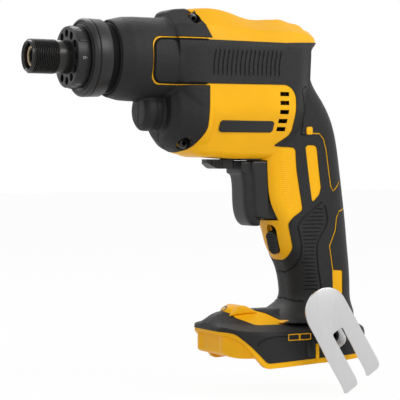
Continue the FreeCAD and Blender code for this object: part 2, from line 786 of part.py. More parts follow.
def trigger():
    rear = trigger_back + 4.0
    bend = 3.7
    # height, front x and half width of the finger blade
    stations = [
        (keel - 6.6, -80.6, skirt_half - 3), (keel - 10, -82.4, skirt_half - 2.4),
        (keel - 16, -83.5, skirt_half - 2.2), (keel - 31, -84.6, skirt_half - 2.2),
        (keel - 36, -86.4, skirt_half - 2.4), (keel - 39.2, -89.6, skirt_half - 3),
    ]
    sections = []
    for i, (z, front, side) in enumerate(stations):
        corners = [(front, side, bend), (rear, side, 0.5), (rear, -side, 0.5), (front, -side, bend)]
        sections.append(sketch(f"blade_{i}", rounded(corners), PLAN, V(base, 0, z)))
    skirt = [
        (-86, keel - 1.2, 2), (-88, keel - 10, 6), (-89.5, keel - 34, 3), (-97, keel - 35.2, 1),
        (trigger_back, keel - 34, 1), (trigger_back, keel - 1.2, 1),
    ]
    blade = loft("trigger_blade", sections)
    flank = prism("trigger_skirt", rounded(skirt), SIDE, V(base, skirt_half, 0), V(0, -2 * skirt_half, 0))
    end = V(base + switch_front - 5, 0, plunger_z)
    plunger = rod("trigger_plunger", "sizes.plunger_radius", end, FORWARD, trigger_back - switch_front + 6)
    return fuse("trigger", [blade, flank, plunger])


def trigger_boot():
    """Folded rubber sleeve round the plunger."""
    inner = d.plunger_radius + d.gap
    front, back = trigger_back - 0.2, switch_front + 0.2
    folds = 3
    pitch = (front - back) / folds
    outside, inside = [], []
    for i in range(folds):
        start = front - i * pitch
        outside += [(start, inner + 1.0), (start - pitch / 2, inner + 3.0)]
        inside += [(start, inner), (start - pitch / 2, inner + 2.0)]
    profile = outside + [(back, inner + 1.0), (back, inner)] + inside[::-1]
    return turned("trigger_boot", profile, base, plunger_z)


def switch_body():
    half = d.switch_width / 2
    low, high = V(base + switch_back, -half, switch_low), V(base + switch_front, half, switch_high)
    box = block("switch_box", low, high)
    end = V(base + switch_front - 12, 0, plunger_z)
    bore = rod("switch_bore", d.plunger_radius + d.gap, end, FORWARD, 13)
    return cut("switch_body", box, [bore])


lever_pivot, lever_pin_radius, lever_pin_rise = -74.5, 2.4, 5.0


def reverse_lever():
    paddle = [
        (-61.8, 4.2, 2.5), (-66, 6.4, 4), (-78.5, 6.4, 2),
        (-78.5, -6.4, 2), (-66, -6.4, 4), (-61.8, -4.2, 2.5),
    ]
    top, bottom = keel - d.gap, keel - 5.8
    plan = prism("lever_plan", rounded(paddle), PLAN, V(base, 0, bottom), V(0, 0, top - bottom))
    side = [
        (-60, top, 0), (-61.8, keel - 2.6, 2), (-67, bottom, 6), (-80, bottom, 0), (-80, top, 0),
    ]
    shape = side_prism("lever_side", rounded(side), -wide, wide)
    pin = rod("lever_pin", lever_pin_radius, V(base + lever_pivot, 0, top - 1), PLAN, lever_pin_rise)
    return fuse("reverse_lever", [common("lever_paddle", [plan, shape]), pin])


lock_place = V(base - 105.1, 4.4, keel - 49.2)
lock_turn = FreeCAD.Rotation(V(0, 0, 1), 20).multiply(FreeCAD.Rotation(V(0, 1, 0), 18))
lock_length, lock_width = 14.0, 7.6


def pill(name, length, width, depth, out, rise):
    """Long rounded bar that faces out of the handle's front, its middle raised along the slot."""
    half_w, half_l = width / 2, length / 2
    corners = [(half_w, half_l, half_w - 0.1), (-half_w, half_l, half_w - 0.1),
               (-half_w, -half_l, half_w - 0.1), (half_w, -half_l, half_w - 0.1)]
    start = lock_place + lock_turn.multVec(V(out - depth, 0, rise))
    return prism(name, rounded(corners), lock_turn.multiply(ACROSS), start, lock_turn.multVec(V(depth, 0, 0)))


def lock_button():
    return pill("lock_button", lock_length, lock_width, 4.5, 1.0, 0)


def lock_slot():
    length = lock_length + d.lock_travel + 2 * d.gap
    return pill("lock_slot", length, lock_width + 2 * d.gap, 7.5, 3.2, d.lock_travel / 2)


module_low = V(base - 100, -13, 5 - 9.5)
module_high = V(base - 60, 13, 14)


def control_module():
    case = block("module_case", module_low, module_high)
    fins = []
    for i in range(5):
        x = module_low.x + 5 + i * 7
        low, high = V(x, -14, module_high.z - 3), V(x + 3, 14, module_high.z + 1)
        fins.append(block(f"module_groove_{i}", low, high))
    return cut("control_module", case, fins)


# Foot: lamp, battery dock and belt hook
dock_wall = d.shell_wall + 0.2
dock_thick = 3.5
dock_slope = math.tan(math.radians(d.foot_tilt))
rail_drop = 5.0


def dock_top(x):
    """Height of the dock's sloping plate at a place along the casing."""
    return keel - 108 - (x + 117.5) * dock_slope


def sloping(name, x_front, x_back, drop_from, drop_to, half):
    """Bar that follows the slope of the dock plate."""
    corners = [
        (x_front, dock_top(x_front) - drop_from), (x_back, dock_top(x_back) - drop_from),
        (x_back, dock_top(x_back) - drop_to), (x_front, dock_top(x_front) - drop_to),
    ]
    return side_prism(name, straight(corners), -half, half)


def battery_rail():
    plate = sloping("dock_plate", -78, -165, 0, dock_thick, wide)
    lip_edge = [(-60, keel - 99, 0), (-65, keel - 113.9, 11), (-90, keel - 113.9, 0), (-80, keel - 99, 0)]
    lip = side_prism("dock_lip", rounded(lip_edge), -wide, wide)
    inside_foot = common("dock_blank", [foot("dock", dock_wall), fuse("dock_space", [plate, lip])])
    outer_y = d.foot_half - dock_wall - 0.2
    section = [
        (outer_y, 0.5), (outer_y, -rail_drop), (outer_y - 8, -rail_drop), (outer_y - 8, 1.6 - rail_drop),
        (outer_y - 3.5, 1.6 - rail_drop), (outer_y - 3.5, 0.5),
    ]
    x_front, x_back = -86.0, -140.0
    start = V(base + x_back, 0, dock_top(x_back) - dock_thick)
    run = V(x_front - x_back, 0, dock_top(x_front) - dock_top(x_back))
    rails = []
    for side in (1, -1):
        outline = straight([(side * y, z) for y, z in section])
        rails.append(prism(f"dock_rail_{'left' if side > 0 else 'right'}", outline, ACROSS, start, run))
    return fuse("battery_rail", [inside_foot] + rails)


terminal_front, terminal_back, terminal_half = -99.0, -116.0, 14.0


def terminal_block():
    bottom = dock_thick + rail_drop
    return sloping("terminal_block", terminal_front, terminal_back, dock_thick, bottom, terminal_half)


def terminal_blades():
    blades = []
    count = 5
    pitch = 2 * (terminal_half - 3) / (count - 1)
    for i in range(count):
        y = -(terminal_half - 3) + i * pitch
        z = dock_top(terminal_back) - dock_thick
        low = V(base + terminal_back - 11, y - 0.4, z - rail_drop + 0.8)
        blades.append(block(f"terminal_blade_{i}", low, V(base + terminal_back, y + 0.4, z - 0.6)))
    return fuse("terminal_blades", blades)


lead_x, lead_y, lead_radius = -122.0, 4.0, 1.4


def battery_leads():
    floor = dock_top(lead_x - lead_radius)
    leads = []
    for i, y in enumerate((-lead_y, lead_y)):
        foot_of_lead = V(base + lead_x, y, floor)
        leads.append(rod(f"battery_lead_{i}", lead_radius, foot_of_lead, PLAN, switch_low - floor))
    return fuse("battery_leads", leads)


lamp_turn = FreeCAD.Rotation(V(0, 1, 0), 42)
lamp_place = V(base - 79.2, 0, keel - 92.2)
lamp_radius, lamp_length = 2.4, 7.0


def led_hood():
    outline = [
        (-73.5, keel - 96, 0), (-73.5, keel - 91, 1.5), (-77, keel - 88.5, 2), (-81, keel - 85.2, 2),
        (-85, keel - 85.5, 3), (-96, keel - 91, 0), (-96, keel - 96, 0),
    ]
    hood = side_prism("hood_block", rounded(outline), -8, 8)
    seat = rod("hood_seat", lamp_radius + d.fit, lamp_place, lamp_turn, lamp_length + 4)
    return cut("led_hood", hood, [proud, seat])


def led_lens():
    return rod("led_lens", lamp_radius, lamp_place, lamp_turn, lamp_length)


hook_turn = FreeCAD.Rotation(V(0, 1, 0), d.hook_lean)
hook_x, hook_z = base - 125.9, keel - 102.0
hook_inner = d.foot_half + d.skin_proud + d.gap + 2 * d.fit
hook_outer = hook_inner + 2 * d.hook_thick + d.hook_gap
hook_top, hook_foot, hook_low = 27.6, -9.0, -31.5
insert_radius, insert_length = 3.0, 7.0
insert_face = d.foot_half - 0.5


def hook_prism(name, pieces, y_from, y_to):
    return prism(name, pieces, hook_turn.multiply(SIDE), V(hook_x, y_from, hook_z), V(0, y_to - y_from, 0))


def belt_hook():
    """Sheet strip folded over at the top, its outer leg split into two prongs."""
    thick = d.hook_thick
    half = d.hook_width / 2
    bend = d.hook_gap / 2 - 0.1
    strip = [
        (hook_inner, hook_foot, 0), (hook_inner, hook_top, bend + thick),
        (hook_outer, hook_top, bend + thick), (hook_outer, hook_low + 7, 6),
        (hook_outer - 3, hook_low, 0.4), (hook_outer - 3 - thick, hook_low + 0.8, 0.4),
        (hook_outer - thick, hook_low + 7.4, 4), (hook_outer - thick, hook_top - thick, bend),
        (hook_inner + thick, hook_top - thick, bend), (hook_inner + thick, hook_foot, 0),
    ]
    width = hook_turn.multVec(V(1, 0, 0))
    start = V(hook_x, 0, hook_z) - width * half
    band = prism("hook_band", rounded(strip), hook_turn.multiply(ACROSS), start, width * d.hook_width)
    middle = hook_outer - thick - d.hook_gap / 2
    front_edge = [
        (half, hook_top, 11), (-half, hook_top, 11), (-half, hook_low - 1, 3), (half, hook_low - 1, 3),
    ]
    rear_edge = [
        (half - 3, hook_top, 9), (3 - half, hook_top, 9), (-8.5, 8, 6),
        (-8.5, hook_foot, 6), (8.5, hook_foot, 6), (8.5, 8, 6),
    ]
    outer_leg = hook_prism("hook_outer_leg", rounded(front_edge), middle, hook_outer + 5)
    inner_leg = hook_prism("hook_inner_leg", rounded(rear_edge), hook_inner - 5, middle)
    slot_edge = [(3.8, 4.5, 3.7), (-3.8, 4.5, 3.7), (-3.8, hook_low - 5, 0), (3.8, hook_low - 5, 0)]
    slot = hook_prism("hook_slot", rounded(slot_edge), middle, hook_outer + 5)
    hole = rod("hook_hole", d.screw_radius + 0.2, V(hook_x, hook_inner - 1, hook_z), LEFT, thick + 2)
    outline = fuse("hook_outline", [outer_leg, inner_leg])
    return cut("belt_hook", common("hook_blank", [band, outline]), [slot, hole])


def hook_screw():
    seat = hook_inner + d.hook_thick
    tip = insert_face - insert_length + 0.5
    shank = rod("hook_shank", "sizes.screw_radius", V(hook_x, tip, hook_z), LEFT, seat + 0.5 - tip)
    head = rod("hook_head", 4.2, V(hook_x, seat, hook_z), LEFT, 2.2)
    return fuse("hook_screw", [shank, head])


def hook_inserts():
    place = V(hook_x, insert_face - insert_length, hook_z)
    sleeve = rod("insert_sleeve", insert_radius, place, LEFT, insert_length)
    left = cut("insert_left", sleeve, [rod("insert_thread", "sizes.insert_bore", place, LEFT, insert_length)])
    return fuse("hook_inserts", [left, mirror("insert_right", left)])


# Screws that hold the two halves together, as casing x and height, with the side their heads are on
screw_places = [
    (-42, keel + 8.5, 1), (-48, 23.3, 1), (-119.5, -6, -1), (-137, keel - 20, -1), (-145, keel - 74, -1),
    (-146.5, keel - 97, -1),
]
screw_seat, screw_tip = 11.0, -9.0
skin_floor = screw_seat - 2.5
head_radius, head_height = 2.9, 2.2


def sideways(name, radius, x, z, y_from, y_to, side):
    """Cylinder along Y between two distances from the joint plane, measured towards a side."""
    low = min(side * y_from, side * y_to)
    return rod(name, radius, V(base + x, low, z), LEFT, abs(y_to - y_from))


def housing_screws():
    pieces = []
    for i, (x, z, side) in enumerate(screw_places):
        shank = sideways(f"screw_shank_{i}", d.screw_radius, x, z, screw_tip, screw_seat, side)
        head = sideways(f"screw_head_{i}", head_radius, x, z, screw_seat, screw_seat + head_height, side)
        pieces.append(fuse(f"screw_{i}", [shank, head]))
    return fuse("housing_screws", pieces)


# Clamshell
def inside():
    """Hollow of the casing, less the ribs and bosses that stand in it."""
    motor_space = block("motor_space", V(base - 125, -wide, keel - 5), V(base + plate_back - 1, wide, 40))
    room = common("motor_room", [barrel("hollow", d.shell_wall), motor_space])
    hollow = fuse("hollow", [room, handle("hollow", d.shell_wall), foot("hollow", d.shell_wall)])
    keep = []
    for i, (x_low, x_high) in enumerate(((-65, -62), (-89, -86), (wall_back, wall_front))):
        keep.append(block(f"rib_{i}", V(base + x_low, -wide, keel), V(base + x_high, wide, 40)))
    for i, drop in enumerate((8, 30)):
        low, high = V(base - 131, -wide, keel - drop - 3), V(base - 90, wide, keel - drop)
        keep.append(block(f"switch_rib_{i}", low, high))
    for i, (x, z, side) in enumerate(screw_places[2:]):
        keep.append(sideways(f"screw_boss_{i}", d.screw_radius + 2.8, x, z, -wide, wide, side))
    for i, side in enumerate((1, -1)):
        x = hook_x - base
        keep.append(sideways(f"insert_boss_{i}", insert_radius + 2, x, hook_z, d.foot_half - 14, wide, side))
    return cut("inside", hollow, keep)


def inner_pockets():
    """Seats and clearances that both halves share."""
    fit = d.fit
    drive = V(base, 0, 0)
    motor = V(base, 0, -motor_drop)
    case_end = -d.case_length

    def bore(name, axis, x_front, x_back, radius):
        return rod(name, radius, axis + V(x_back, 0, 0), FORWARD, x_front - x_back)

    gear_tip = d.gear_module * (d.gear_teeth / 2 + 1) + 0.6
    pinion_tip = d.gear_module * (d.pinion_teeth / 2 + 1) + 0.6
    bearing_back = wall_front - 4.8
    pockets = [
        bore("case_pocket", drive, 1, case_end, d.case_radius + fit),
        bore("boss_pocket", motor, boss_front, case_end, d.case_boss_radius + fit),
        block("web_pocket", V(base + case_end, -web_half - fit, -motor_drop),
              V(base + case_end + web_thick + fit, web_half + fit, 0)),
        bore("gear_pocket", drive, case_end, plate_front, gear_tip),
        bore("pinion_pocket", motor, case_end, plate_front, pinion_tip),
        prism("plate_pocket", stadium(plate_radius + fit), ACROSS, drive + V(plate_back, 0, 0),
              V(d.plate_thick, 0, 0)),
        bore("spindle_pocket", drive, plate_back, plate_back - 2, d.spindle_shaft_radius + 1),
        bore("motor_pocket", motor, plate_back, wall_front, d.stator_radius + fit),
        bore("bearing_pocket", motor, wall_front, bearing_back, motor_bearing_radius + fit),
        bore("shaft_pocket", motor, bearing_back, wall_back + 0.2, d.shaft_radius + 1),
        block("module_pocket", module_low - V(fit, fit, fit), module_high + V(fit, fit, fit)),
        block("switch_pocket", V(base + switch_back - fit, -d.switch_width / 2 - fit, switch_low - fit),
              V(base + switch_front, d.switch_width / 2 + fit, switch_high + fit)),
        block("trigger_pocket", V(base + switch_front, -skirt_half - d.gap, keel - 36),
              V(base - 70, skirt_half + d.gap, keel - 1.2 + d.gap)),
        rod("lever_socket", lever_pin_radius + fit, V(base + lever_pivot, 0, keel - 3), PLAN,
            lever_pin_rise + 2.2),
        rod("lamp_pocket", lamp_radius + fit, lamp_place, lamp_turn, lamp_length * 2),
    ]
    for i, z in enumerate((-19, -24.1, -29.3, -34.4, -39)):
        pockets.append(block(f"vent_{i}", V(base - 103.2, 12, z - 1.2), V(base - 97.2, wide, z + 1.2)))
    x = hook_x - base
    deep = insert_face - insert_length
    pockets.append(sideways("insert_pocket", insert_radius + fit, x, hook_z, deep, wide, 1))
    return pockets


def head_recesses(tag, side, floor):
    """Round recesses down to the screw heads on one side."""
    return [
        sideways(f"{tag}_recess_{i}", head_radius + 0.5, x, z, floor, wide, side)
        for i, (x, z, head_side) in enumerate(screw_places) if head_side == side
    ]


def screw_pockets(tag, side):
    """What one half takes away: head recesses, holes for all screws and the slot of the lock button."""
    holes = [
        sideways(f"{tag}_hole_{i}", d.screw_radius + d.fit, x, z, screw_tip - 1, screw_seat, head_side)
        for i, (x, z, head_side) in enumerate(screw_places)
    ]
    return [slot_of_lock] + holes + head_recesses(tag, side, screw_seat)


def bare_skin():
    """Places inside the grip's outline where the hard shell shows."""
    return [
        side_prism("handle_leaf", rounded(handle_leaf), 0, wide),
        side_prism("rear_block", rounded(rear_block), 0, wide),
        side_prism("upper_stripe", ribbon(upper_stripe, d.stripe_width), 0, wide),
        side_prism("lower_stripe", ribbon(lower_stripe, d.stripe_width), 0, wide),
        prism("foot_leaf", rounded(foot_leaf), PLAN, V(base, 0, keel - 110), V(0, 0, 30)),
        sideways("insert_bare", insert_radius + 2.5, hook_x - base, hook_z, 20, wide, 1),
        rod("lamp_bare", lamp_radius + d.gap, lamp_place, lamp_turn, lamp_length * 2),
    ]


inner_pieces = [
    threaded_nose(), setting_dial(), clutch_collar(), collar_seal(), gear_case(), gear_plate(),
    spindle(), bit_ring(), bit_magnet(), bush(), clutch_springs(), spindle_gear(), motor_pinion(),
    bearing("spindle_bearing", plate_front - 0.2, plate_back + 0.2, d.spindle_shaft_radius + d.fit,
            spindle_bearing_radius, 0),
    bearing("pinion_bearing", seat_front - 0.2, seat_front - 0.2 - pinion_bearing_width,
            d.shaft_radius + d.fit, pinion_bearing_radius, -motor_drop),
    bearing("motor_bearing", wall_front - 0.8, wall_front - 4.8, d.shaft_radius + d.fit,
            motor_bearing_radius, -motor_drop),
    rotor_shaft(), rotor_core(), motor_stator(), stator_coils(), motor_board(), motor_fan(),
    trigger(), trigger_boot(), switch_body(), reverse_lever(), lock_button(), control_module(),
    battery_rail(), terminal_block(), terminal_blades(), battery_leads(), led_lens(),
    belt_hook(), hook_screw(), hook_inserts(), housing_screws(),
]
left_half = block("left_half", V(-300, 0, -300), V(100, wide, 100))
under = casing("under", d.skin_depth)
proud = casing("proud", -d.skin_proud)
outer_half = common("outer_half", [casing("outer", 0), left_half])
proud_half = common("proud_half", [proud, left_half])
grip_region = side_prism("grip_region", rounded(grip_edge), -1, wide)
nose_region = side_prism("nose_region", rounded(nose_edge), -1, wide)
tongue = side_prism("tongue", rounded(tongue_edge), -1, wide)
grip_space = cut("grip_space", grip_region, [under] + bare_skin())
nose_space = cut("nose_space", nose_region, [under, tongue])
left_grip = common("left_grip", [proud_half, grip_space])
right_grip = cut("right_grip", mirror("grip_mirror", left_grip), head_recesses("grip", -1, skin_floor))
nose_skin = common("nose_skin", [proud_half, nose_space])
left_nose_skin = cut("left_nose_skin", nose_skin, head_recesses("nose_skin", 1, skin_floor))
slot_of_lock = lock_slot()
hard_half = cut("hard_half", cut("half_less_grip", outer_half, [grip_space]), [nose_space])
hollow_half = common("hollow_half", [inside(), left_half])
half_shell = cut("half_shell", cut("thin_half", hard_half, [hollow_half]), inner_pockets())
left_housing = cut("left_housing", half_shell, screw_pockets("left", 1))
right_housing = cut("right_housing", mirror("right_shell", half_shell), screw_pockets("right", -1))
nodes = inner_pieces + [
    left_housing, right_housing, left_grip, right_grip, left_nose_skin,
    mirror("right_nose_skin", nose_skin), led_hood(),
]
doc.recompute()
for node in nodes:
    if "Invalid" in node.State or "Error" in node.State:
        raise RuntimeError(f"{node.Label} did not build: {node.State}")
    if node.Shape.isNull() or not node.Shape.isValid():
        raise RuntimeError(f"{node.Label} has no sound shape")
    node.Shape.exportStep(f"parts/{node.Label}.step")
    print(node.Label, len(node.Shape.Solids), round(node.Shape.Volume))
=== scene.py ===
import bpy
import bmesh
import json
import math
from mathutils import Matrix, Vector
from mathutils.bvhtree import BVHTree

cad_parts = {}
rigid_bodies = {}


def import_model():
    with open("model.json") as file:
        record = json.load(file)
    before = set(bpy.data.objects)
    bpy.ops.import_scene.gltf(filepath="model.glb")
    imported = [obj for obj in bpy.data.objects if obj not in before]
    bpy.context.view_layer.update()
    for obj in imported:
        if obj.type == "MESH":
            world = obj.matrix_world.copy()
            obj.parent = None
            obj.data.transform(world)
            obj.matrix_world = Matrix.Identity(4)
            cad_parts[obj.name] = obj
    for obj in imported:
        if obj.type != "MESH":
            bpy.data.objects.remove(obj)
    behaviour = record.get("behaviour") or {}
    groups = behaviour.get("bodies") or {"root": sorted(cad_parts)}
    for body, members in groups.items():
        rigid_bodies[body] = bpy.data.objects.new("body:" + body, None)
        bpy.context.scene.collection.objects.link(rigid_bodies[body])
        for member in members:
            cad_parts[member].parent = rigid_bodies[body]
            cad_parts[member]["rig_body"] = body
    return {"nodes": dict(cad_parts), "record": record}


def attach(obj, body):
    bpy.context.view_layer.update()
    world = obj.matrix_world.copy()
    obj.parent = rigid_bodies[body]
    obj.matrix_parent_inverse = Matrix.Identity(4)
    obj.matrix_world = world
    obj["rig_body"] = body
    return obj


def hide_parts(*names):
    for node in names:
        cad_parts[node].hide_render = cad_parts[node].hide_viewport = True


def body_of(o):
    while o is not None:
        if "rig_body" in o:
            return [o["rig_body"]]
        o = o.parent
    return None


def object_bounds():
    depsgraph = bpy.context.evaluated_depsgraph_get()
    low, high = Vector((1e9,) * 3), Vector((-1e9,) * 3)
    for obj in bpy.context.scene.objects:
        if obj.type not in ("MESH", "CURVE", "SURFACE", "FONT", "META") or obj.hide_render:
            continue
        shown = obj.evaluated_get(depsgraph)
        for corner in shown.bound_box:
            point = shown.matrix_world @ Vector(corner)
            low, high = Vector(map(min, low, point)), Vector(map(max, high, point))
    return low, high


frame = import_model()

cadLow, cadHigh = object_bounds()
nodes = frame["nodes"]
mm = 0.001
casingFront = -47.5  # millimetres along X, side outlines are measured from here
keel = -56.0         # underside of the motor
clearOfSides = 0.08  # metres, farther out than either side of the tool
tiny = 1e-6
# corners closer than this are one: in metres on a node, in millimetres on a drawn shape
weld = {"node": 2e-6, "drawn": 0.0005}
print("frame loaded:", len(nodes), "nodes")

# studio and camera: places in metres, angles in degrees
shot = {
    "azimuth": 152.5,
    "elevation": 1.3,
    "lens": 148.5,
    "sensor": 36,
    "nearest": 0.01,
    "eye": (0.33249, 0.84331, -0.05822),
    "lampAim": (-0.1, 0, -0.08),
    "skyLevel": 0.4,
}
paper = {"half": 6.0, "drop": 0.0006, "color": (0.9, 0.9, 0.9), "rough": 0.9, "white": 0.96}
lamps = {
    "keyLamp": {"place": (-0.65, 0.75, 0.6), "size": (0.5, 0.5), "power": 6.8},
    "fillLamp": {"place": (0.6, 0.9, 0.45), "size": (0.5, 0.6), "power": 2.2},
    "rimLamp": {"place": (-0.1, -0.8, 0.7), "size": (0.8, 0.5), "power": 4.0},
}
plainWhite = (1, 1, 1, 1)


def placeCamera():
    a, e = math.radians(shot["azimuth"]), math.radians(shot["elevation"])
    back = Vector((math.sin(a) * math.cos(e), -math.cos(a) * math.cos(e), math.sin(e)))
    right = Vector((math.cos(a), math.sin(a), 0))
    up = back.cross(right)
    lens = bpy.data.cameras.new("photoCamera")
    lens.lens = shot["lens"]
    lens.sensor_width = shot["sensor"]
    lens.clip_start = shot["nearest"]
    eye = bpy.data.objects.new("photoCamera", lens)
    turn = Matrix((right, up, back)).transposed().to_4x4()
    eye.matrix_world = Matrix.Translation(shot["eye"]) @ turn
    bpy.context.scene.collection.objects.link(eye)
    bpy.context.scene.camera = eye


def mathNode(tree, operation):
    made = tree.nodes.new("ShaderNodeMath")
    made.operation = operation
    return made


def seenPlainly(tree):
    # 1 for camera, mirror and glass rays
    path = tree.nodes.new("ShaderNodeLightPath")
    first = mathNode(tree, "MAXIMUM")
    both = mathNode(tree, "MAXIMUM")
    tree.links.new(path.outputs["Is Camera Ray"], first.inputs[0])
    tree.links.new(path.outputs["Is Glossy Ray"], first.inputs[1])
    tree.links.new(first.outputs[0], both.inputs[0])
    tree.links.new(path.outputs["Is Transmission Ray"], both.inputs[1])
    return both.outputs[0]


def mixed(tree, share, shaded, shown, output):
    # one shader for light, the other for what is seen
    mix = tree.nodes.new("ShaderNodeMixShader")
    for socket, source in zip(mix.inputs, (share, shaded.outputs[0], shown.outputs[0])):
        tree.links.new(source, socket)
    tree.links.new(mix.outputs[0], tree.nodes[output].inputs["Surface"])


def softLamp(name, place, size, power):
    lamp = bpy.data.lights.new(name, "AREA")
    lamp.shape = "RECTANGLE"
    lamp.size, lamp.size_y = size
    lamp.energy = power
    holder = bpy.data.objects.new(name, lamp)
    holder.location = place
    towards = Vector(shot["lampAim"]) - Vector(place)
    holder.rotation_euler = towards.to_track_quat("-Z", "Y").to_euler()
    bpy.context.scene.collection.objects.link(holder)


def paperFloor():
    floor = bmesh.new()
    bmesh.ops.create_grid(floor, x_segments=1, y_segments=1, size=paper["half"])
    bmesh.ops.translate(floor, verts=floor.verts, vec=(0, 0, cadLow.z - paper["drop"]))
    mesh = bpy.data.meshes.new("floor")
    floor.to_mesh(mesh)
    floor.free()
    plane = bpy.data.objects.new("floor", mesh)
    bpy.context.scene.collection.objects.link(plane)
    made = bpy.data.materials.new("studioPaper")
    made.use_nodes = True
    tree = made.node_tree
    matte = tree.nodes["Principled BSDF"]
    matte.inputs["Base Color"].default_value = (*paper["color"], 1)
    matte.inputs["Roughness"].default_value = paper["rough"]
    glow = tree.nodes.new("ShaderNodeEmission")
    glow.inputs["Color"].default_value = plainWhite
    share = mathNode(tree, "MULTIPLY")
    share.inputs[1].default_value = paper["white"]
    tree.links.new(seenPlainly(tree), share.inputs[0])
    mixed(tree, share.outputs[0], matte, glow, "Material Output")
    mesh.materials.append(made)


def whiteSky():
    world = bpy.data.worlds.new("studioSky")
    bpy.context.scene.world = world
    world.use_nodes = True
    tree = world.node_tree
    sky = tree.nodes["Background"]
    sky.inputs["Color"].default_value = plainWhite
    sky.inputs["Strength"].default_value = shot["skyLevel"]
    white = tree.nodes.new("ShaderNodeBackground")
    white.inputs["Strength"].default_value = 1.0
    white.inputs["Color"].default_value = plainWhite
    mixed(tree, seenPlainly(tree), sky, white, "World Output")


placeCamera()
paperFloor()
whiteSky()
for name, lamp in lamps.items():
    softLamp(name, lamp["place"], lamp["size"], lamp["power"])
bpy.context.scene.view_settings.view_transform = "Standard"
print("studio ready")

# finishes: colour, roughness, gloss level, metal share, grain's scale and strength,
# rounding seen at edges in metres
finish = {
    "shell": {"color": (0.93, 0.455, 0.004), "rough": 0.42, "gloss": 0.2, "metal": 0.0,
              "grain": 1700, "lift": 0.06, "edge": 0.0004},
    "soft_grip": {"color": (0.013, 0.013, 0.013), "rough": 0.5, "gloss": 0.23, "metal": 0.0,
                  "grain": 1500, "lift": 1.0, "edge": 0.0005},
    "black_plastic": {"color": (0.014, 0.014, 0.014), "rough": 0.38, "gloss": 0.3, "metal": 0.0,
                      "grain": 1900, "lift": 0.14, "edge": 0.0005},
    "dark_steel": {"color": (0.030, 0.029, 0.028), "rough": 0.26, "gloss": 0.4, "metal": 0.6,
                   "grain": 900, "lift": 0.05, "edge": 0.0002},
    "steel": {"color": (0.50, 0.50, 0.51), "rough": 0.32, "gloss": 0.5, "metal": 1.0,
              "grain": 700, "lift": 0.04, "edge": 0.0003},
    "bright_steel": {"color": (0.60, 0.60, 0.60), "rough": 0.3, "gloss": 0.5, "metal": 1.0,
                     "grain": 500, "lift": 0.04, "edge": 0.0003},
    "cast_alloy": {"color": (0.5, 0.51, 0.52), "rough": 0.5, "gloss": 0.5, "metal": 1.0,
                   "grain": 800, "lift": 0.1, "edge": 0.0003},
    "bronze": {"color": (0.56, 0.42, 0.24), "rough": 0.4, "gloss": 0.4, "metal": 0.4,
               "grain": 900, "lift": 0.05, "edge": 0.0002},
    "copper": {"color": (0.55, 0.22, 0.09), "rough": 0.35, "gloss": 0.5, "metal": 1.0,
               "grain": 1200, "lift": 0.05, "edge": 0.0002},
    "board": {"color": (0.02, 0.09, 0.035), "rough": 0.5, "gloss": 0.4, "metal": 0.0,
              "grain": 1200, "lift": 0.05, "edge": 0.0002},
    "lead_sleeve": {"color": (0.012, 0.012, 0.012), "rough": 0.5, "gloss": 0.4, "metal": 0.0,
                    "grain": 1500, "lift": 0.05, "edge": 0.0002},
    "lens": {"color": (0.1, 0.1, 0.095), "rough": 0.12, "gloss": 0.5, "metal": 0.0,
             "grain": 600, "lift": 0.02, "edge": 0.0002},
}
markPaint = {"color": (0.3, 0.3, 0.29), "rough": 0.5, "gloss": 0.3, "metal": 0.0,
             "grain": 1500, "lift": 0.05, "edge": 0.0001}
# painted shade: near-black finish, darker than the black parts, for the shadow along the band's
# tongue and in the collar's gap
paintedShade = {"color": (0.004, 0.004, 0.004), "rough": 0.7, "gloss": 0.1, "metal": 0.0,
             "grain": 1500, "lift": 0.1, "edge": 0.0001}
# how a finish varies: in blotches, or in long scratches along the strip
mottled = {"scale": 45, "detail": 4, "fineDetail": 3, "spread": 0.07, "depth": 0.1}
brushed = {"lean": 32.0, "along": 40, "across": 2200, "detail": 2, "spread": 0.07, "depth": 0.06}
relief = {"edgeSamples": 6, "height": 0.0004}


def noiseOn(tree, place, scale, detail):
    made = tree.nodes.new("ShaderNodeTexNoise")
    made.inputs["Scale"].default_value = scale
    made.inputs["Detail"].default_value = detail
    tree.links.new(place, made.inputs["Vector"])
    return made.outputs["Fac"]


def scratches(tree, place):
    turn = tree.nodes.new("ShaderNodeMapping")
    turn.inputs["Rotation"].default_value = (0, math.radians(-brushed["lean"]), 0)
    turn.inputs["Scale"].default_value = (brushed["across"], brushed["across"], brushed["along"])
    tree.links.new(place, turn.inputs["Vector"])
    return noiseOn(tree, turn.outputs["Vector"], 1, brushed["detail"])


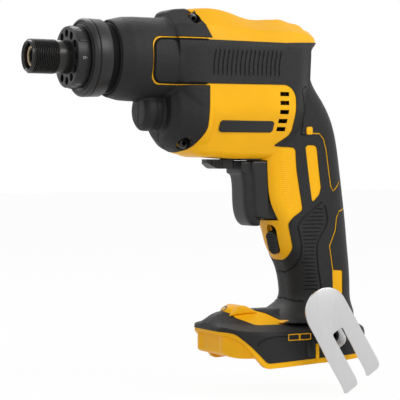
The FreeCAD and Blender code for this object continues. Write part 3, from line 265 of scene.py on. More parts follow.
def grained(name, spec, streaked=False):
    made = bpy.data.materials.new(name)
    made.use_nodes = True
    tree = made.node_tree
    shader = tree.nodes["Principled BSDF"]
    shader.inputs["Metallic"].default_value = spec["metal"]
    shader.inputs["Specular IOR Level"].default_value = spec["gloss"]
    place = tree.nodes.new("ShaderNodeTexCoord").outputs["Object"]
    if streaked:
        varied = brushed
        fine = broad = scratches(tree, place)
    else:
        varied = mottled
        fine = noiseOn(tree, place, spec["grain"], mottled["fineDetail"])
        broad = noiseOn(tree, place, mottled["scale"], mottled["detail"])
    tone = tree.nodes.new("ShaderNodeMix")
    tone.data_type = "RGBA"
    depth, spread = varied["depth"], varied["spread"]
    tone.inputs["A"].default_value = (*[c * (1 - depth) for c in spec["color"]], 1)
    tone.inputs["B"].default_value = (*[min(c * (1 + depth), 1) for c in spec["color"]], 1)
    tree.links.new(broad, tone.inputs["Factor"])
    tree.links.new(tone.outputs["Result"], shader.inputs["Base Color"])
    sheen = tree.nodes.new("ShaderNodeMapRange")
    sheen.inputs["To Min"].default_value = spec["rough"] - spread
    sheen.inputs["To Max"].default_value = spec["rough"] + spread
    tree.links.new(broad, sheen.inputs["Value"])
    tree.links.new(sheen.outputs["Result"], shader.inputs["Roughness"])
    edge = tree.nodes.new("ShaderNodeBevel")
    edge.samples = relief["edgeSamples"]
    edge.inputs["Radius"].default_value = spec["edge"]
    bump = tree.nodes.new("ShaderNodeBump")
    bump.inputs["Strength"].default_value = spec["lift"]
    bump.inputs["Distance"].default_value = relief["height"]
    tree.links.new(fine, bump.inputs["Height"])
    tree.links.new(edge.outputs["Normal"], bump.inputs["Normal"])
    tree.links.new(bump.outputs["Normal"], shader.inputs["Normal"])
    return made


materials = {slot: grained(slot, spec) for slot, spec in finish.items()}
materials["bright_steel"] = grained("brushedSteel", finish["bright_steel"], True)
markMaterial = grained("markPaint", markPaint)
paintedShadeMaterial = grained("paintedShade", paintedShade)
slotOf = {row["node"]: row["material_slot"] for row in frame["record"]["subparts"]}
for name, node in nodes.items():
    node.data.materials.clear()
    node.data.materials.append(materials[slotOf[name]])
print("finishes ready:", len(materials))


# shared ways of making a piece
def soften(shape, crease):
    for face in shape.faces:
        face.smooth = True
    for edge in shape.edges:
        edge.smooth = edge.calc_face_angle(0) < math.radians(crease)


def toPiece(shape, name, body, slot, crease=35, material=None):
    # a bmesh in metres becomes a piece of the frame
    soften(shape, crease)
    mesh = bpy.data.meshes.new(name)
    shape.to_mesh(mesh)
    shape.free()
    mesh.materials.append(material or materials[slot])
    piece = bpy.data.objects.new(name, mesh)
    bpy.context.scene.collection.objects.link(piece)
    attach(piece, body)
    return piece


def inMetres(shape):
    bmesh.ops.scale(shape, vec=(mm, mm, mm), verts=shape.verts)
    return shape


def fromMillimetres(shape):
    bmesh.ops.remove_doubles(shape, verts=shape.verts, dist=weld["drawn"])
    bmesh.ops.recalc_face_normals(shape, faces=shape.faces)
    return inMetres(shape)


def shapeOf(mesh):
    shape = bmesh.new()
    shape.from_mesh(mesh)
    return shape


def addTo(whole, part):
    # joins one bmesh into another
    mesh = bpy.data.meshes.new("part")
    part.to_mesh(mesh)
    part.free()
    whole.from_mesh(mesh)
    bpy.data.meshes.remove(mesh)


def weldedCopy(name):
    shape = shapeOf(nodes[name].data)
    bmesh.ops.remove_doubles(shape, verts=shape.verts, dist=weld["node"])
    return shape


def smoothCopy(name, newName, crease=30):
    piece = toPiece(weldedCopy(name), newName, body_of(nodes[name])[0], slotOf[name], crease)
    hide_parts(name)
    return piece


def settled(holder):
    # mesh of an object with its modifiers done
    bpy.context.view_layer.update()
    whole = holder.evaluated_get(bpy.context.evaluated_depsgraph_get())
    return bpy.data.meshes.new_from_object(whole)


def carve(piece, cutters, crease=30):
    # takes the cutters away from a copied node
    tool = bpy.data.objects.new("carvingTool", cutters)
    bpy.context.scene.collection.objects.link(tool)
    step = piece.modifiers.new("carve", "BOOLEAN")
    step.operation = "DIFFERENCE"
    step.solver = "EXACT"
    step.object = tool
    carved = settled(piece)
    piece.modifiers.clear()
    bpy.data.objects.remove(tool)
    shape = shapeOf(carved)
    soften(shape, crease)
    shape.to_mesh(carved)
    shape.free()
    piece.data = carved


meltEase = 0.5  # share of the way to its neighbours' middle that a corner goes in one pass


def remelted(name, newName, melt, extra=None, crease=60):
    # copy of a node with its edges melted round, then grown back where that took much
    shape = weldedCopy(name)
    if extra:
        addTo(shape, fromMillimetres(extra))
    mesh = bpy.data.meshes.new(newName)
    shape.to_mesh(mesh)
    shape.free()
    holder = bpy.data.objects.new(newName, mesh)
    bpy.context.scene.collection.objects.link(holder)
    step = holder.modifiers.new("melt", "REMESH")
    step.mode = "VOXEL"
    step.voxel_size = melt["voxel"] * mm
    melted = settled(holder)
    bpy.data.objects.remove(holder)
    shape = shapeOf(melted)
    for i in range(melt["passes"]):
        bmesh.ops.smooth_vert(shape, verts=shape.verts, factor=meltEase,
                              use_axis_x=True, use_axis_y=True, use_axis_z=True)
    shape.normal_update()
    for corner in shape.verts:
        corner.co += corner.normal * melt["grow"] * mm
    piece = toPiece(shape, newName, body_of(nodes[name])[0], slotOf[name], crease)
    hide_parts(name)


class Surface:
    # finds a node's outside: asked in millimetres with x from the casing's front, told in metres
    def __init__(self, name):
        mesh = nodes[name].data
        points = [corner.co for corner in mesh.vertices]
        faces = [face.vertices[:] for face in mesh.polygons]
        self.tree = BVHTree.FromPolygons(points, faces)

    def fromSide(self, x, z, side):
        start = Vector(((casingFront + x) * mm, side * clearOfSides, z * mm))
        return self.tree.ray_cast(start, Vector((0, -side, 0)))[:2]

    def nearest(self, x, y, z):
        return self.tree.find_nearest(Vector((casingFront + x, y, z)) * mm)[:2]

    def beside(self, x, y, z, side):
        # seen square from the side, or the nearest place where the side view misses
        spot, normal = self.fromSide(x, z, side)
        return (spot, normal) if spot else self.nearest(x, side * y, z)


def flowing(points, steps=6):
    # smooth run through a few points
    ends = [points[0]] + list(points) + [points[-1]]
    run = []
    for a, b, c, e in zip(ends, ends[1:], ends[2:], ends[3:]):
        for i in range(steps):
            t = i / steps
            run.append(tuple(
                0.5 * (2 * q + (r - p) * t + (2 * p - 5 * q + 4 * r - s) * t * t
                       + (3 * q - p - 3 * r + s) * t ** 3)
                for p, q, r, s in zip(a, b, c, e)
            ))
    return run + [tuple(points[-1])]


lineForm = {"roundness": 1, "thinEnd": 0.35, "crease": 60}


def tubes(runs, radius, sink):
    # round lines along runs of surface points with their normals
    drawn = bpy.data.curves.new("lines", "CURVE")
    drawn.dimensions = "3D"
    drawn.bevel_depth = radius * mm
    drawn.bevel_resolution = lineForm["roundness"]
    drawn.use_fill_caps = True
    for run in runs:
        line = drawn.splines.new("POLY")
        line.points.add(len(run) - 1)
        for point, (spot, normal) in zip(line.points, run):
            point.co = (*(spot - normal * sink * mm), 1)
        line.points[0].radius = line.points[-1].radius = lineForm["thinEnd"]
    holder = bpy.data.objects.new("lines", drawn)
    mesh = bpy.data.meshes.new_from_object(holder)
    bpy.data.objects.remove(holder)
    return mesh


rimSegments = 2


def rounded(shape, geom, offset, segments, affect="EDGES"):
    bmesh.ops.bevel(shape, geom=geom, offset=offset, offset_type="OFFSET", affect=affect,
                    segments=segments, profile=0.5, material=-1)


def only(kind, geom):
    return [part for part in geom if isinstance(part, kind)]


def roundedBar(size, corner, edge, segments=5):
    # box with rounded upright corners and a soft rim, centred on the origin
    shape = bmesh.new()
    bmesh.ops.create_cube(shape, size=1)
    bmesh.ops.scale(shape, vec=size, verts=shape.verts)
    upright = [e for e in shape.edges if abs(e.verts[0].co.y - e.verts[1].co.y) > tiny]
    rounded(shape, upright, corner, segments)
    rim = [e for e in shape.edges if all(v.co.y > size[1] / 2 - tiny for v in e.verts)]
    rounded(shape, rim, edge, rimSegments)
    return shape


def closedLine(shape, profile):
    # places along X with their radii, joined to a ring of edges
    corners = [shape.verts.new((x, 0, r)) for x, r in profile]
    edges = [shape.edges.new((a, b)) for a, b in zip(corners, corners[1:] + corners[:1])]
    return corners, edges


def turned(shape, profile, steps):
    corners, edges = closedLine(shape, profile)
    bmesh.ops.spin(shape, geom=corners + edges, cent=(0, 0, 0), axis=(1, 0, 0),
                   angle=2 * math.pi, steps=steps, use_merge=True)


# threaded nose sleeve; the ridge's places are shares of the pitch
sleeve = {
    "bore": 7.2, "crest": 9.5, "root": 8.7, "neck": 9.2, "length": 15.6, "shoulder": -31.0,
    "mouth": 1.2, "flare": 0.9, "chamfer": 0.35, "neckStep": 0.4, "steps": 64,
    "pitch": 1.04, "turns": 14, "lead": 0.55, "ridge": (0.36, 0.52, 0.88), "ridgeSink": 0.1,
    "startDrop": 0.25, "startSlope": 0.9, "ridgeFrom": 0.02, "crease": 28,
}


def threadedSleeve():
    shape = bmesh.new()
    root, bore, neck, crest = (sleeve[k] for k in ("root", "bore", "neck", "crest"))
    end, length, chamfer = sleeve["shoulder"], sleeve["length"], sleeve["chamfer"]
    turned(shape, [
        (-sleeve["mouth"], bore), (0, bore + sleeve["flare"]), (0, root - chamfer),
        (-chamfer, root), (-length, root), (-length - sleeve["neckStep"], neck),
        (end, neck), (end, bore),
    ], sleeve["steps"])
    # ridge that winds along the sleeve
    pitch, steps, low = sleeve["pitch"], sleeve["steps"], root - sleeve["ridgeSink"]
    start = -sleeve["lead"]
    rise, fall, foot = (start - pitch * share for share in sleeve["ridge"])
    corners, edges = closedLine(shape, [(start, low), (rise, crest), (fall, crest), (foot, low)])
    shape.faces.new(corners)
    swept = bmesh.ops.spin(
        shape, geom=corners + edges, cent=(0, 0, 0), axis=(1, 0, 0), dvec=(-pitch / steps, 0, 0),
        angle=2 * math.pi * sleeve["turns"], steps=steps * sleeve["turns"],
    )
    bmesh.ops.contextual_create(shape, geom=only(bmesh.types.BMEdge, swept["geom_last"]))
    # the thread rises from nothing at the mouth
    for corner in shape.verts:
        reach = math.hypot(corner.co.y, corner.co.z)
        limit = root - sleeve["startDrop"] - corner.co.x * sleeve["startSlope"]
        if reach > root + sleeve["ridgeFrom"] and limit < reach:
            corner.co.y *= limit / reach
            corner.co.z *= limit / reach
    shape = fromMillimetres(shape)
    piece = toPiece(shape, "threadedSleeve", "housing", "dark_steel", sleeve["crease"])
    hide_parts("threaded_nose")


threadedSleeve()
print("threaded sleeve ready")

# setting dial: lugs and numbers round its rim
dialMarks = {
    "radius": 17.0, "middle": -27.2,
    "lugs": 6, "lugSize": (5.2, 1.0, 1.7), "lugCorner": 0.5, "lugEdge": 0.3, "lugSegments": 3,
    "lugSink": 0.1,
    "numbers": 6, "letter": 3.8, "letterDepth": 0.08, "letterLift": 0.02, "turn": 0.98,
}


def dialLugs():
    lugs = bmesh.new()
    place = Matrix.Translation((dialMarks["middle"], dialMarks["radius"] - dialMarks["lugSink"], 0))
    for i in range(dialMarks["lugs"]):
        lug = roundedBar(dialMarks["lugSize"], dialMarks["lugCorner"], dialMarks["lugEdge"],
                         dialMarks["lugSegments"])
        turn = Matrix.Rotation(2 * math.pi * (i + 0.5) / dialMarks["lugs"], 4, "X")
        bmesh.ops.transform(lug, matrix=turn @ place, verts=lug.verts)
        addTo(lugs, lug)
    toPiece(fromMillimetres(lugs), "dialLugs", "dial", "black_plastic")


def dialNumber(i):
    words = bpy.data.curves.new("number", "FONT")
    words.body = str(i + 1)
    words.size = dialMarks["letter"]
    words.align_x = "CENTER"
    words.align_y = "CENTER"
    words.extrude = dialMarks["letterDepth"]
    holder = bpy.data.objects.new("number", words)
    mesh = bpy.data.meshes.new_from_object(holder)
    bpy.data.objects.remove(holder)
    digit = shapeOf(mesh)
    bpy.data.meshes.remove(mesh)
    bmesh.ops.subdivide_edges(digit, edges=digit.edges, cuts=1)
    # wrapped round the rim, its top towards the collar
    for corner in digit.verts:
        across, along, lift = corner.co
        angle = across / dialMarks["radius"]
        reach = dialMarks["radius"] + dialMarks["letterLift"] + lift
        corner.co = (
            dialMarks["middle"] - along, reach * math.cos(angle), -reach * math.sin(angle),
        )
    spin = Matrix.Rotation(2 * math.pi * i / dialMarks["numbers"] + dialMarks["turn"], 4, "X")
    bmesh.ops.transform(digit, matrix=spin, verts=digit.verts)
    toPiece(fromMillimetres(digit), f"dialNumber{i + 1}", "dial", "lens", material=markMaterial)


# collar behind the dial: raised lip, bands and the gap before the casing; the seal ring in that gap
# is painted shade, darker than black
collar = {
    "profile": [
        (-31.3, 15.0), (-31.3, 18.6), (-32.0, 18.8), (-32.0, 19.8), (-31.3, 20.1), (-31.5, 21.1),
        (-32.2, 21.7), (-33.0, 21.9), (-34.2, 21.9), (-34.5, 21.2), (-35.1, 21.2), (-35.4, 21.8),
        (-41.9, 21.6), (-42.6, 21.2), (-43.0, 19.6), (-43.0, 15.0),
    ],
    "gap": [(-43.0, 15.0), (-43.0, 19.3), (-47.4, 19.3), (-47.4, 15.0)],
    "steps": 96,
}


def turnedRing(profile, newName, node, material=None):
    ring = bmesh.new()
    turned(ring, profile, collar["steps"])
    piece = toPiece(fromMillimetres(ring), newName, "housing", slotOf[node], material=material)
    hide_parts(node)


smoothCopy("setting_dial", "settingDial")
dialLugs()
for i in range(dialMarks["numbers"]):
    dialNumber(i)
turnedRing(collar["profile"], "clutchCollar", "clutch_collar")
# the seal ring fills the gap in painted shade, near-black for the shadow in the gap
turnedRing(collar["gap"], "collarSealShade", "collar_seal", paintedShadeMaterial)
print("dial and collar ready")

# soft skins: curved grooves on the band, outlined ribbed panel on the grip, parting lines;
# x runs from the casing's front, z from the spindle's axis on the band and else from the keel
band = {
    "grooves": 16, "first": -56.2, "last": -98.2, "top": 5.6, "bottom": -9.2, "bow": 1.9,
    "midBow": 0.8, "steps": 4, "radius": 0.55, "sink": 0.1,
}
gripPanel = {
    "right": [(-131.7, 16, -25.3), (-133.6, 16, -29), (-134.7, 16, -37.5), (-129.8, 16, -46.2),
              (-127.6, 16, -51.4), (-128, 16, -62.3), (-130.1, 16, -74.2), (-131, 16, -80)],
    "left": [(-131.7, 16, -25.3), (-124.8, 16, -30), (-115.5, 16, -37.9), (-115.8, 16, -43.8),
             (-117.2, 16, -51.1), (-116.7, 15.5, -58.5), (-114.1, 11.6, -64.1),
             (-112.3, 4.3, -67.2), (-112.3, 0.3, -66.6)],
    "lineRadius": 0.7, "lineSink": 0.05, "sharedStart": 4, "sideOn": 14,
    "ribPitch": 2.25, "ribTop": -29.5, "ribBottom": -77.0, "ribRadius": 0.5, "ribSink": 0.1,
    "ribInset": 1.7, "ribSteps": 6, "ribLeast": 5, "open": -62.0, "front": -118.5, "reach": 16,
}
# dark bead round the band's tongue: a raised lip in the painted shade finish, for the shadow along
# its edge
bandShadeLip = {
    "line": [(-53, 10.7), (-40, 10.7), (-27, 10.7), (-22.5, 10.1), (-19.75, 7.2), (-19.15, 2),
             (-19.15, -6), (-19.75, -10.4), (-22.5, -13.3), (-27, -13.8), (-40, -13.8),
             (-51, -13.8)],
    "radius": 0.95, "sink": 0.55, "reach": 21, "steps": 5,
}
skinLines = {
    "lines": {
        "upperSeam": [(-119.4, 18.4, 42), (-114.4, 22.2, 40), (-115, 21.9, 36.2),
                      (-116.3, 20.7, 31.9), (-117.4, 18, 22.6), (-116.5, 17.3, 14.5),
                      (-119.6, 17.3, 13.6)],
        "frontCrease": [(-113.2, 0.5, -81.7), (-114, 9, -82.6), (-119.8, 16.3, -83.8)],
        "footPanel": [(-78.9, 32, -106.2), (-81.7, 33, -103.4), (-89.2, 34.2, -101.5),
                      (-97.6, 34.6, -101.4)],
        "footPanelRear": [(-113.4, 34.5, -101.6), (-126, 34.5, -101.2), (-143, 33, -100.6)],
    },
    "radius": 0.6, "sink": 0.05,
}
noseMelt = {"voxel": 0.6, "passes": 4, "grow": 0.0}


def edgeAt(line, z):
    # where a side line crosses a height
    for (xa, ya, za), (xb, yb, zb) in zip(line, line[1:]):
        if min(za, zb) <= z <= max(za, zb) and abs(za - zb) > tiny:
            return xa + (xb - xa) * (z - za) / (zb - za)
    return None


def lineShape(runs, radius, sink):
    mesh = tubes(runs, radius, sink)
    shape = shapeOf(mesh)
    bpy.data.meshes.remove(mesh)
    bmesh.ops.recalc_face_normals(shape, faces=shape.faces)
    return shape


def carvedRuns(piece, runs, radius, sink):
    shape = lineShape(runs, radius, sink)
    tool = bpy.data.meshes.new("lines")
    shape.to_mesh(tool)
    shape.free()
    carve(piece, tool)


def raisedRuns(runs, radius, sink, name, slot, material=None):
    toPiece(lineShape(runs, radius, sink), name, "housing", slot, lineForm["crease"], material)


def bandGrooves(skin, side):
    runs = []
    middle = (band["top"] + band["bottom"]) / 2
    for i in range(band["grooves"]):
        top = band["first"] + (band["last"] - band["first"]) * i / (band["grooves"] - 1)
        line = [(top, band["top"]), (top + band["bow"] * band["midBow"], middle),
                (top + band["bow"], band["bottom"])]
        runs.append([skin.fromSide(x, z, side) for x, z in flowing(line, band["steps"])])
    return runs


def panelRibs(skin, side):
    runs = []
    inset, steps = gripPanel["ribInset"], gripPanel["ribSteps"]
    z = gripPanel["ribTop"]
    while z > gripPanel["ribBottom"]:
        near, far = edgeAt(gripPanel["left"], z), edgeAt(gripPanel["right"], z)
        if near is None or z < gripPanel["open"]:
            near = gripPanel["front"]
        if far is not None and near - far > gripPanel["ribLeast"]:
            line = [near - inset + (far - near + 2 * inset) * i / steps for i in range(steps + 1)]
            runs.append([skin.beside(x, gripPanel["reach"], keel + z, side) for x in line])
        z -= gripPanel["ribPitch"]
    return runs


def dressGrip(side, node, newName):
    skin = Surface(node)

    def placed(x, y, z):
        if y > gripPanel["sideOn"]:
            return skin.beside(x, y, keel + z, side)
        return skin.nearest(x, side * y, keel + z)

    def laid(line):
        return [placed(*point) for point in flowing(line)]

    piece = smoothCopy(node, newName)
    carvedRuns(piece, bandGrooves(skin, side), band["radius"], band["sink"])
    carvedRuns(piece, panelRibs(skin, side), gripPanel["ribRadius"], gripPanel["ribSink"])
    # both outlines start at one place, so the second one leaves its start out
    left, right = laid(gripPanel["left"]), laid(gripPanel["right"])[gripPanel["sharedStart"]:]
    for outline in (left, right):
        carvedRuns(piece, [outline], gripPanel["lineRadius"], gripPanel["lineSink"])
    lines = [laid(line) for line in skinLines["lines"].values()]
    carvedRuns(piece, lines, skinLines["radius"], skinLines["sink"])
    # the band's lip takes the painted shade finish, for the shadow along the tongue's edge
    lip = [skin.beside(x, bandShadeLip["reach"], z, side)
           for x, z in flowing(bandShadeLip["line"], bandShadeLip["steps"])]
    raisedRuns([lip], bandShadeLip["radius"], bandShadeLip["sink"], newName + "BandShadeLip", "soft_grip",
               paintedShadeMaterial)


dressGrip(1, "left_grip", "leftGrip")
dressGrip(-1, "right_grip", "rightGrip")
remelted("left_nose_skin", "leftNoseSkin", noseMelt)
remelted("right_nose_skin", "rightNoseSkin", noseMelt)
smoothCopy("trigger_boot", "triggerBoot")
print("soft skins ready")

# screws with six-lobed sockets: x, z and the side that the head is on
bodyScrews = {
    "places": [(-42, keel + 8.5, 1), (-48, 23.3, 1), (-119.5, -6, -1), (-137, keel - 20, -1),
               (-145, keel - 74, -1), (-146.5, keel - 97, -1)],
    "seat": 11.0, "head": 2.9, "height": 2.2, "shank": 1.6, "length": 20.0,
}
hookScrew = {
    "place": (-125.9, keel - 102),
    "seat": 36.4, "head": 4.2, "height": 2.2, "shank": 1.6, "length": 9.4,
}
# rings of a head: share of its height, share of its radius, share of its radius for the lobes
screwHead = {
    "rings": [(0, 1, 0), (0.55, 1, 0), (0.88, 0.86, 0), (1, 0.62, 0), (1, 0.44, 0.07)],
    "floor": (0.42, 0.07), "deep": 1.3, "under": 0.05, "lobes": 6, "segments": 36,
}


def lobedScrew(spec, place, side):
    head, height, shank = spec["head"], spec["height"], spec["shank"]
    floor, floorLobe = screwHead["floor"]
    rings = [(-spec["length"], shank, 0), (-screwHead["under"], shank, 0)]
    rings += [(height * up, head * out, head * lobe) for up, out, lobe in screwHead["rings"]]
    rings += [(height - screwHead["deep"], head * floor, head * floorLobe)]
    shape = bmesh.new()
    loops = []
    for out, radius, lobe in rings:
        made = bmesh.ops.create_circle(shape, segments=screwHead["segments"], radius=radius)
        ring = made["verts"]
        for corner in ring:
            angle = math.atan2(corner.co.y, corner.co.x)
            reach = radius + lobe * math.cos(screwHead["lobes"] * angle)
            corner.co = (reach * math.cos(angle), out, reach * math.sin(angle))
        loops.append(list({e for corner in ring for e in corner.link_edges}))
    for a, b in zip(loops, loops[1:]):
        bmesh.ops.bridge_loops(shape, edges=a + b)
    for loop in (loops[0], loops[-1]):
        bmesh.ops.contextual_create(shape, geom=loop)
    x, z = place
    turn = Matrix.Rotation(0 if side > 0 else math.pi, 4, "Z")
    seat = Matrix.Translation((casingFront + x, side * spec["seat"], z))
    bmesh.ops.transform(shape, matrix=seat @ turn, verts=shape.verts)
    return shape


def allScrews():
    whole = bmesh.new()
    for x, z, side in bodyScrews["places"]:
        addTo(whole, lobedScrew(bodyScrews, (x, z), side))
    group = toPiece(fromMillimetres(whole), "bodyScrews", "housing", "dark_steel")
    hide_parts("housing_screws")
    single = fromMillimetres(lobedScrew(hookScrew, hookScrew["place"], 1))
    piece = toPiece(single, "hookScrew", "housing", slotOf["hook_screw"])
    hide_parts("hook_screw")


# hard shell: faint ribs on the handle, bare plate on each side
shellRibs = {
    "rows": 24, "top": -1.3, "bottom": -28.0, "near": (-101.8, -104.9), "far": (-107.6, -112.6),
    "steps": 5, "radius": 0.38, "sink": 0.22,
}
sidePlate = {"middle": (-77.2, 18.3), "size": (35.0, 0.9, 7.2), "corner": 1.9, "edge": 0.2}
# screw wells and the walls of the vents in the shell take the black finish as painted shade in
# these recesses; the shell's front edge is black too
paintedShadeAndEdge = {
    "wellReach": 4.4, "wellDeep": 10.8,
    "ventNear": -96.9, "ventFar": -103.5, "ventTop": -17.0, "ventLow": -41.0, "ventDeep": 11.9,
    "steep": 0.6, "frontEdge": -6.0,
}


def inScrewWell(x, y, z, side):
    return abs(y) > paintedShadeAndEdge["wellDeep"] and any(
        head == side and math.hypot(x - screwX, z - screwZ) < paintedShadeAndEdge["wellReach"]
        for screwX, screwZ, head in bodyScrews["places"]
    )


def inVent(x, y, z, normal):
    return (
        paintedShadeAndEdge["ventFar"] < x < paintedShadeAndEdge["ventNear"]
        and paintedShadeAndEdge["ventLow"] < z < paintedShadeAndEdge["ventTop"]
        and abs(y) > paintedShadeAndEdge["ventDeep"] and abs(normal.y) < paintedShadeAndEdge["steep"]
    )


# painted shade: faces in screw wells and on vent walls take the black finish; faces at the front
# edge take it too
def paintShadeAndEdge(piece, side):
    piece.data.materials.append(materials["black_plastic"])
    for face in piece.data.polygons:
        x, y, z = face.center / mm
        x -= casingFront
        well = inScrewWell(x, y, z, side)
        if well or inVent(x, y, z, face.normal) or x > paintedShadeAndEdge["frontEdge"]:
            face.material_index = 1


def between(ends, t):
    return ends[0] + (ends[1] - ends[0]) * t


def dressShell(side, node, newName):
    paintShadeAndEdge(smoothCopy(node, newName), side)
    shell = Surface(node)
    rows = []
    steps = shellRibs["steps"]
    for i in range(shellRibs["rows"]):
        t = i / (shellRibs["rows"] - 1)
        z = keel + shellRibs["top"] + (shellRibs["bottom"] - shellRibs["top"]) * t
        near, far = between(shellRibs["near"], t), between(shellRibs["far"], t)
        line = [near + (far - near) * k / steps for k in range(steps + 1)]
        rows.append([shell.fromSide(x, z, side) for x in line])
    raisedRuns(rows, shellRibs["radius"], shellRibs["sink"], newName + "Ribs", "shell")
    x, z = sidePlate["middle"]
    spot, normal = shell.fromSide(x, keel + z, side)
    plate = roundedBar(sidePlate["size"], sidePlate["corner"], sidePlate["edge"])
    upright = Vector((0, normal.y, normal.z)).normalized()
    turn = Vector((0, 1, 0)).rotation_difference(upright).to_matrix().to_4x4()
    bmesh.ops.transform(plate, matrix=Matrix.Translation(spot / mm) @ turn, verts=plate.verts)
    toPiece(fromMillimetres(plate), newName + "Plate", "housing", "black_plastic")


dressShell(1, "left_housing", "leftShell")
dressShell(-1, "right_housing", "rightShell")
print("hard shell ready")
allScrews()
print("screws ready")

# controls: ribs on the lever and the lock button, rounded trigger
leverRibs = {
    "places": (-63.9, -65.9, -67.9, -69.9), "height": keel - 1.5, "lifts": (0.8, -1, -3, -5),
    "radius": 0.55, "sink": 0.05,
}
lockRibs = {
    "middle": (-105.1, 4.4, keel - 49.2), "out": (0.8937, 0.3253, -0.3090),
    "across": (-0.3420, 0.9397, 0.0), "along": (0.2904, 0.1057, 0.9511), "face": 1.0,
    "count": 8, "pitch": 1.55, "half": 2.9, "shares": (-1.4, -0.5, 0.5, 1.4),
    "radius": 0.5, "sink": 0.1,
}
# the seal closes the slit under the casing, the brow rounds the trigger's top into its sides
triggerSeal = {"middle": (casingFront - 86.8, 0, keel + 1.5), "size": (13.2, 20.0, 4.9)}
triggerBrow = {"middle": (casingFront - 86.2, 0, keel - 4.9), "size": (10.4, 19.0, 7.6)}
triggerMelt = {"voxel": 0.5, "passes": 14, "grow": 0.0}


def plainBlock(spec):
    block = bmesh.new()
    bmesh.ops.create_cube(block, size=1)
    bmesh.ops.scale(block, vec=spec["size"], verts=block.verts)
    bmesh.ops.translate(block, vec=spec["middle"], verts=block.verts)
    return block


def ribbedLever():
    lever = Surface("reverse_lever")
    runs = []
    for x in leverRibs["places"]:
        for side in (1, -1):
            spot, normal = lever.fromSide(x, leverRibs["height"], side)
            runs.append([(spot + Vector((0, 0, lift * mm)), normal) for lift in leverRibs["lifts"]])
    piece = smoothCopy("reverse_lever", "reverseLever")
    carve(piece, tubes(runs, leverRibs["radius"], leverRibs["sink"]))


def ribbedLock():
    out, across, along = (Vector(lockRibs[k]) for k in ("out", "across", "along"))
    centre = Vector(lockRibs["middle"]) + Vector((casingFront, 0, 0)) + out * lockRibs["face"]
    runs = []
    for i in range(lockRibs["count"]):
        row = centre + along * (i - (lockRibs["count"] - 1) / 2) * lockRibs["pitch"]
        runs.append([((row + across * lockRibs["half"] * share) * mm, out)
                     for share in lockRibs["shares"]])
    piece = smoothCopy("lock_button", "lockButton")
    carve(piece, tubes(runs, lockRibs["radius"], lockRibs["sink"]))


ribbedLever()
ribbedLock()
remelted("trigger", "triggerBlade", triggerMelt, plainBlock(triggerBrow))
toPiece(fromMillimetres(plainBlock(triggerSeal)), "triggerSeal", "housing", "black_plastic")
print("controls ready")

# foot: a framed slot on each side, tabs on the left side
footSlot = {
    "place": (-105.3, -101.9), "size": (15.2, 3.8), "frame": 0.55, "deep": 1.5,
    "skirt": 0.3, "corner": 0.6, "cornerSegments": 4, "longSide": 1, "stand": 0.12,
    "innerFrom": 0.8, "flat": 0.9,
}
sideTabs = {
    "hookStop": {"place": (-112.8, -109.2), "size": (5.2, 1.6, 9.6), "corner": 1.8, "edge": 0.5,
                 "slot": "black_plastic"},
    "hookTab": {"place": (-117.2, -111.0), "size": (2.2, 1.0, 9.6), "corner": 0.7, "edge": 0.3,
                "slot": "shell"},
    "stripeTab": {"place": (-122.0, 16.4), "size": (4.2, 1.0, 4.6), "corner": 1.2, "edge": 0.3,
                  "slot": "shell"},
}


def framedSlot(side, node, newName):
    x, z = footSlot["place"]
    spot = Surface(node).fromSide(x, keel + z, side)[0]
    wide, high = footSlot["size"]
    shape = bmesh.new()
    bmesh.ops.create_grid(shape, x_segments=2, y_segments=1, size=0.5)
    bmesh.ops.scale(shape, vec=(wide, high, 1), verts=shape.verts)
    openings = shape.faces[:]
    bmesh.ops.inset_individual(shape, faces=openings, thickness=footSlot["frame"],
                               use_even_offset=True)
    pits = bmesh.ops.extrude_discrete_faces(shape, faces=openings)["faces"]
    bmesh.ops.translate(shape, vec=(0, 0, -footSlot["deep"]),
                        verts=list({v for f in pits for v in f.verts}))
    rim = [e for e in shape.edges if e.is_boundary]
    skirt = bmesh.ops.extrude_edge_only(shape, edges=rim)["geom"]
    bmesh.ops.translate(shape, vec=(0, 0, -footSlot["deep"] - footSlot["skirt"]),
                        verts=only(bmesh.types.BMVert, skirt))
    bmesh.ops.holes_fill(shape, edges=[e for e in shape.edges if e.is_boundary], sides=0)
    upright = [e for e in shape.edges
               if abs(e.verts[0].co.z - e.verts[1].co.z) > footSlot["longSide"]
               and abs(abs(e.verts[0].co.x) - wide / 2) < 10 * tiny]
    rounded(shape, upright, footSlot["corner"], footSlot["cornerSegments"])
    bmesh.ops.recalc_face_normals(shape, faces=shape.faces)
    turn = Matrix.Rotation(math.radians(-90 * side), 4, "X")
    lift = Matrix.Translation(spot / mm + Vector((0, side * footSlot["stand"], 0)))
    bmesh.ops.transform(shape, matrix=lift @ turn, verts=shape.verts)
    piece = toPiece(inMetres(shape), newName, "housing", "shell")
    piece.data.materials.append(materials["black_plastic"])
    for face in piece.data.polygons:
        deep = abs(face.center.y - spot.y) > footSlot["innerFrom"] * mm
        inner = deep and abs(face.normal.y) > footSlot["flat"]
        face.material_index = 1 if inner else 0


def leftTabs():
    skin = Surface("left_grip")
    for name, tab in sideTabs.items():
        x, z = tab["place"]
        spot = skin.fromSide(x, keel + z, 1)[0]
        bar = roundedBar(tab["size"], tab["corner"], tab["edge"])
        bmesh.ops.translate(bar, vec=spot / mm, verts=bar.verts)
        toPiece(fromMillimetres(bar), name, "housing", tab["slot"])


# folded steel strip, its front leg a plate with a round head and two prongs;
# heights run along the strip from its screw
hook = {
    "place": (-125.9, keel - 102.0), "lean": 32.0, "thick": 1.6, "inner": 34.8, "gap": 7.98,
    "rim": 0.35, "sharp": 1, "cornerSegments": 10, "crown": 0.1,
    "half": 14.0, "top": 31.4, "low": -31.3, "prongRound": 2.5,
    "slotHalf": 3.8, "slotTop": 4.5, "slotMouth": 2.0, "slotRound": 1.4,
    "curl": 3.0, "curlFrom": -24.5, "curlSteps": 8,
    "backHalf": 6.6, "footHalf": 7.6, "waist": (6, 2), "foot": -9.0, "backRound": 4,
    "foldHalf": 5.6, "foldDrop": 5.6, "foldThick": 0.8, "foldSteps": 16,
}


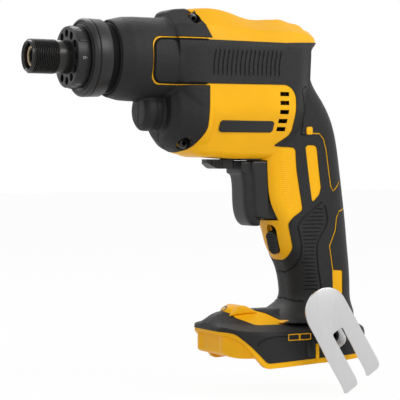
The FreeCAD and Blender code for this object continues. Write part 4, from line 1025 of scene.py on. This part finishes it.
def plateOf(rightHalf):
    # flat plate from the corners of its right half, given as across, up and rounding
    outline = rightHalf + [(-x, z, radius) for x, z, radius in reversed(rightHalf)]
    shape = bmesh.new()
    corners = [shape.verts.new((x, 0, z)) for x, z, radius in outline]
    shape.faces.new(corners)
    for corner, (x, z, radius) in zip(corners, outline):
        rounded(shape, [corner], radius, hook["cornerSegments"], "VERTICES")
    grown = bmesh.ops.extrude_face_region(shape, geom=shape.faces[:])["geom"]
    bmesh.ops.translate(shape, vec=(0, hook["thick"], 0), verts=only(bmesh.types.BMVert, grown))
    bmesh.ops.recalc_face_normals(shape, faces=shape.faces)
    edges = [e for e in shape.edges
             if abs(e.verts[0].co.y - e.verts[1].co.y) < tiny
             and e.calc_face_angle(0) > hook["sharp"]]
    rounded(shape, edges, hook["rim"], rimSegments)
    return shape


def frontLeg():
    half, low, slot = hook["half"], hook["low"], hook["slotHalf"]
    front = plateOf([
        (half, hook["top"], half - hook["crown"]), (half, low, hook["prongRound"]),
        (slot, low, hook["slotMouth"]), (slot, hook["slotTop"], hook["slotRound"]),
    ])
    # the prongs' tips curl towards the foot
    for i in range(hook["curlSteps"]):
        cut = hook["curlFrom"] + (low - hook["curlFrom"]) * i / hook["curlSteps"]
        bmesh.ops.bisect_plane(front, geom=front.verts[:] + front.edges[:] + front.faces[:],
                               plane_co=(0, 0, cut), plane_no=(0, 0, 1))
    for corner in front.verts:
        past = max(hook["curlFrom"] - corner.co.z, 0) / (hook["curlFrom"] - low)
        corner.co.y -= hook["curl"] * past ** 2
    out = hook["inner"] + hook["thick"] + hook["gap"]
    bmesh.ops.translate(front, vec=(0, out, 0), verts=front.verts)
    return front


def rearLeg():
    back, foot, turn = hook["backHalf"], hook["footHalf"], hook["backRound"]
    upper, lower = hook["waist"]
    rear = plateOf([
        (back, hook["top"] - hook["foldDrop"], back - hook["crown"]), (back, upper, turn),
        (foot, lower, turn), (foot, hook["foot"], turn),
    ])
    bmesh.ops.translate(rear, vec=(0, hook["inner"], 0), verts=rear.verts)
    return rear


def foldedEnd():
    # joins the two legs
    fold = bmesh.new()
    half, thick, bend = hook["foldHalf"], hook["thick"], hook["gap"] / 2
    outer = bend + thick * hook["foldThick"]
    height = hook["top"] - bend - thick - hook["foldDrop"]
    strip = [(-half, bend), (half, bend), (half, outer), (-half, outer)]
    face = fold.faces.new([fold.verts.new((x, y, 0)) for x, y in strip])
    bmesh.ops.spin(fold, geom=[face], cent=(0, 0, 0), axis=(1, 0, 0), angle=math.pi,
                   steps=hook["foldSteps"])
    bmesh.ops.translate(fold, vec=(0, hook["inner"] + thick + bend, height), verts=fold.verts)
    bmesh.ops.recalc_face_normals(fold, faces=fold.faces)
    return fold


def beltHook():
    whole = bmesh.new()
    for part in (frontLeg(), rearLeg(), foldedEnd()):
        addTo(whole, part)
    x, z = hook["place"]
    lean = Matrix.Rotation(math.radians(hook["lean"]), 4, "Y")
    place = Matrix.Translation((casingFront + x, 0, z))
    bmesh.ops.transform(whole, matrix=place @ lean, verts=whole.verts)
    piece = toPiece(inMetres(whole), "beltHook", "housing", "bright_steel")
    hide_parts("belt_hook")


# lamp, battery rail and the ring in the bit socket, its bore painted dark steel as shade
hoodMelt = {"voxel": 0.3, "passes": 30, "grow": 0.2}
railMelt = {"voxel": 0.7, "passes": 5, "grow": 0.0}
lampNub = {"middle": (-126.5, 0, -145.9), "radii": (6.2, 6.5, 4.5), "segments": 48, "rings": 24}
boreShadeRadius = 4.3


def roundNub():
    nub = bmesh.new()
    bmesh.ops.create_uvsphere(nub, u_segments=lampNub["segments"], v_segments=lampNub["rings"],
                              radius=1)
    bmesh.ops.scale(nub, vec=lampNub["radii"], verts=nub.verts)
    bmesh.ops.translate(nub, vec=lampNub["middle"], verts=nub.verts)
    toPiece(fromMillimetres(nub), "lampNub", "housing", slotOf["led_hood"])


def bitRing():
    ring = smoothCopy("bit_ring", "bitRing")
    # faces inside the bore take the dark steel as painted shade
    ring.data.materials.append(materials["dark_steel"])
    for face in ring.data.polygons:
        inside = math.hypot(face.center.y, face.center.z) < boreShadeRadius * mm
        face.material_index = 1 if inside else 0


framedSlot(1, "left_grip", "leftFootSlot")
framedSlot(-1, "right_grip", "rightFootSlot")
leftTabs()
beltHook()
remelted("led_hood", "ledHood", hoodMelt)
roundNub()
remelted("battery_rail", "batteryRail", railMelt)
smoothCopy("led_lens", "ledLens")
bitRing()
print("foot ready")
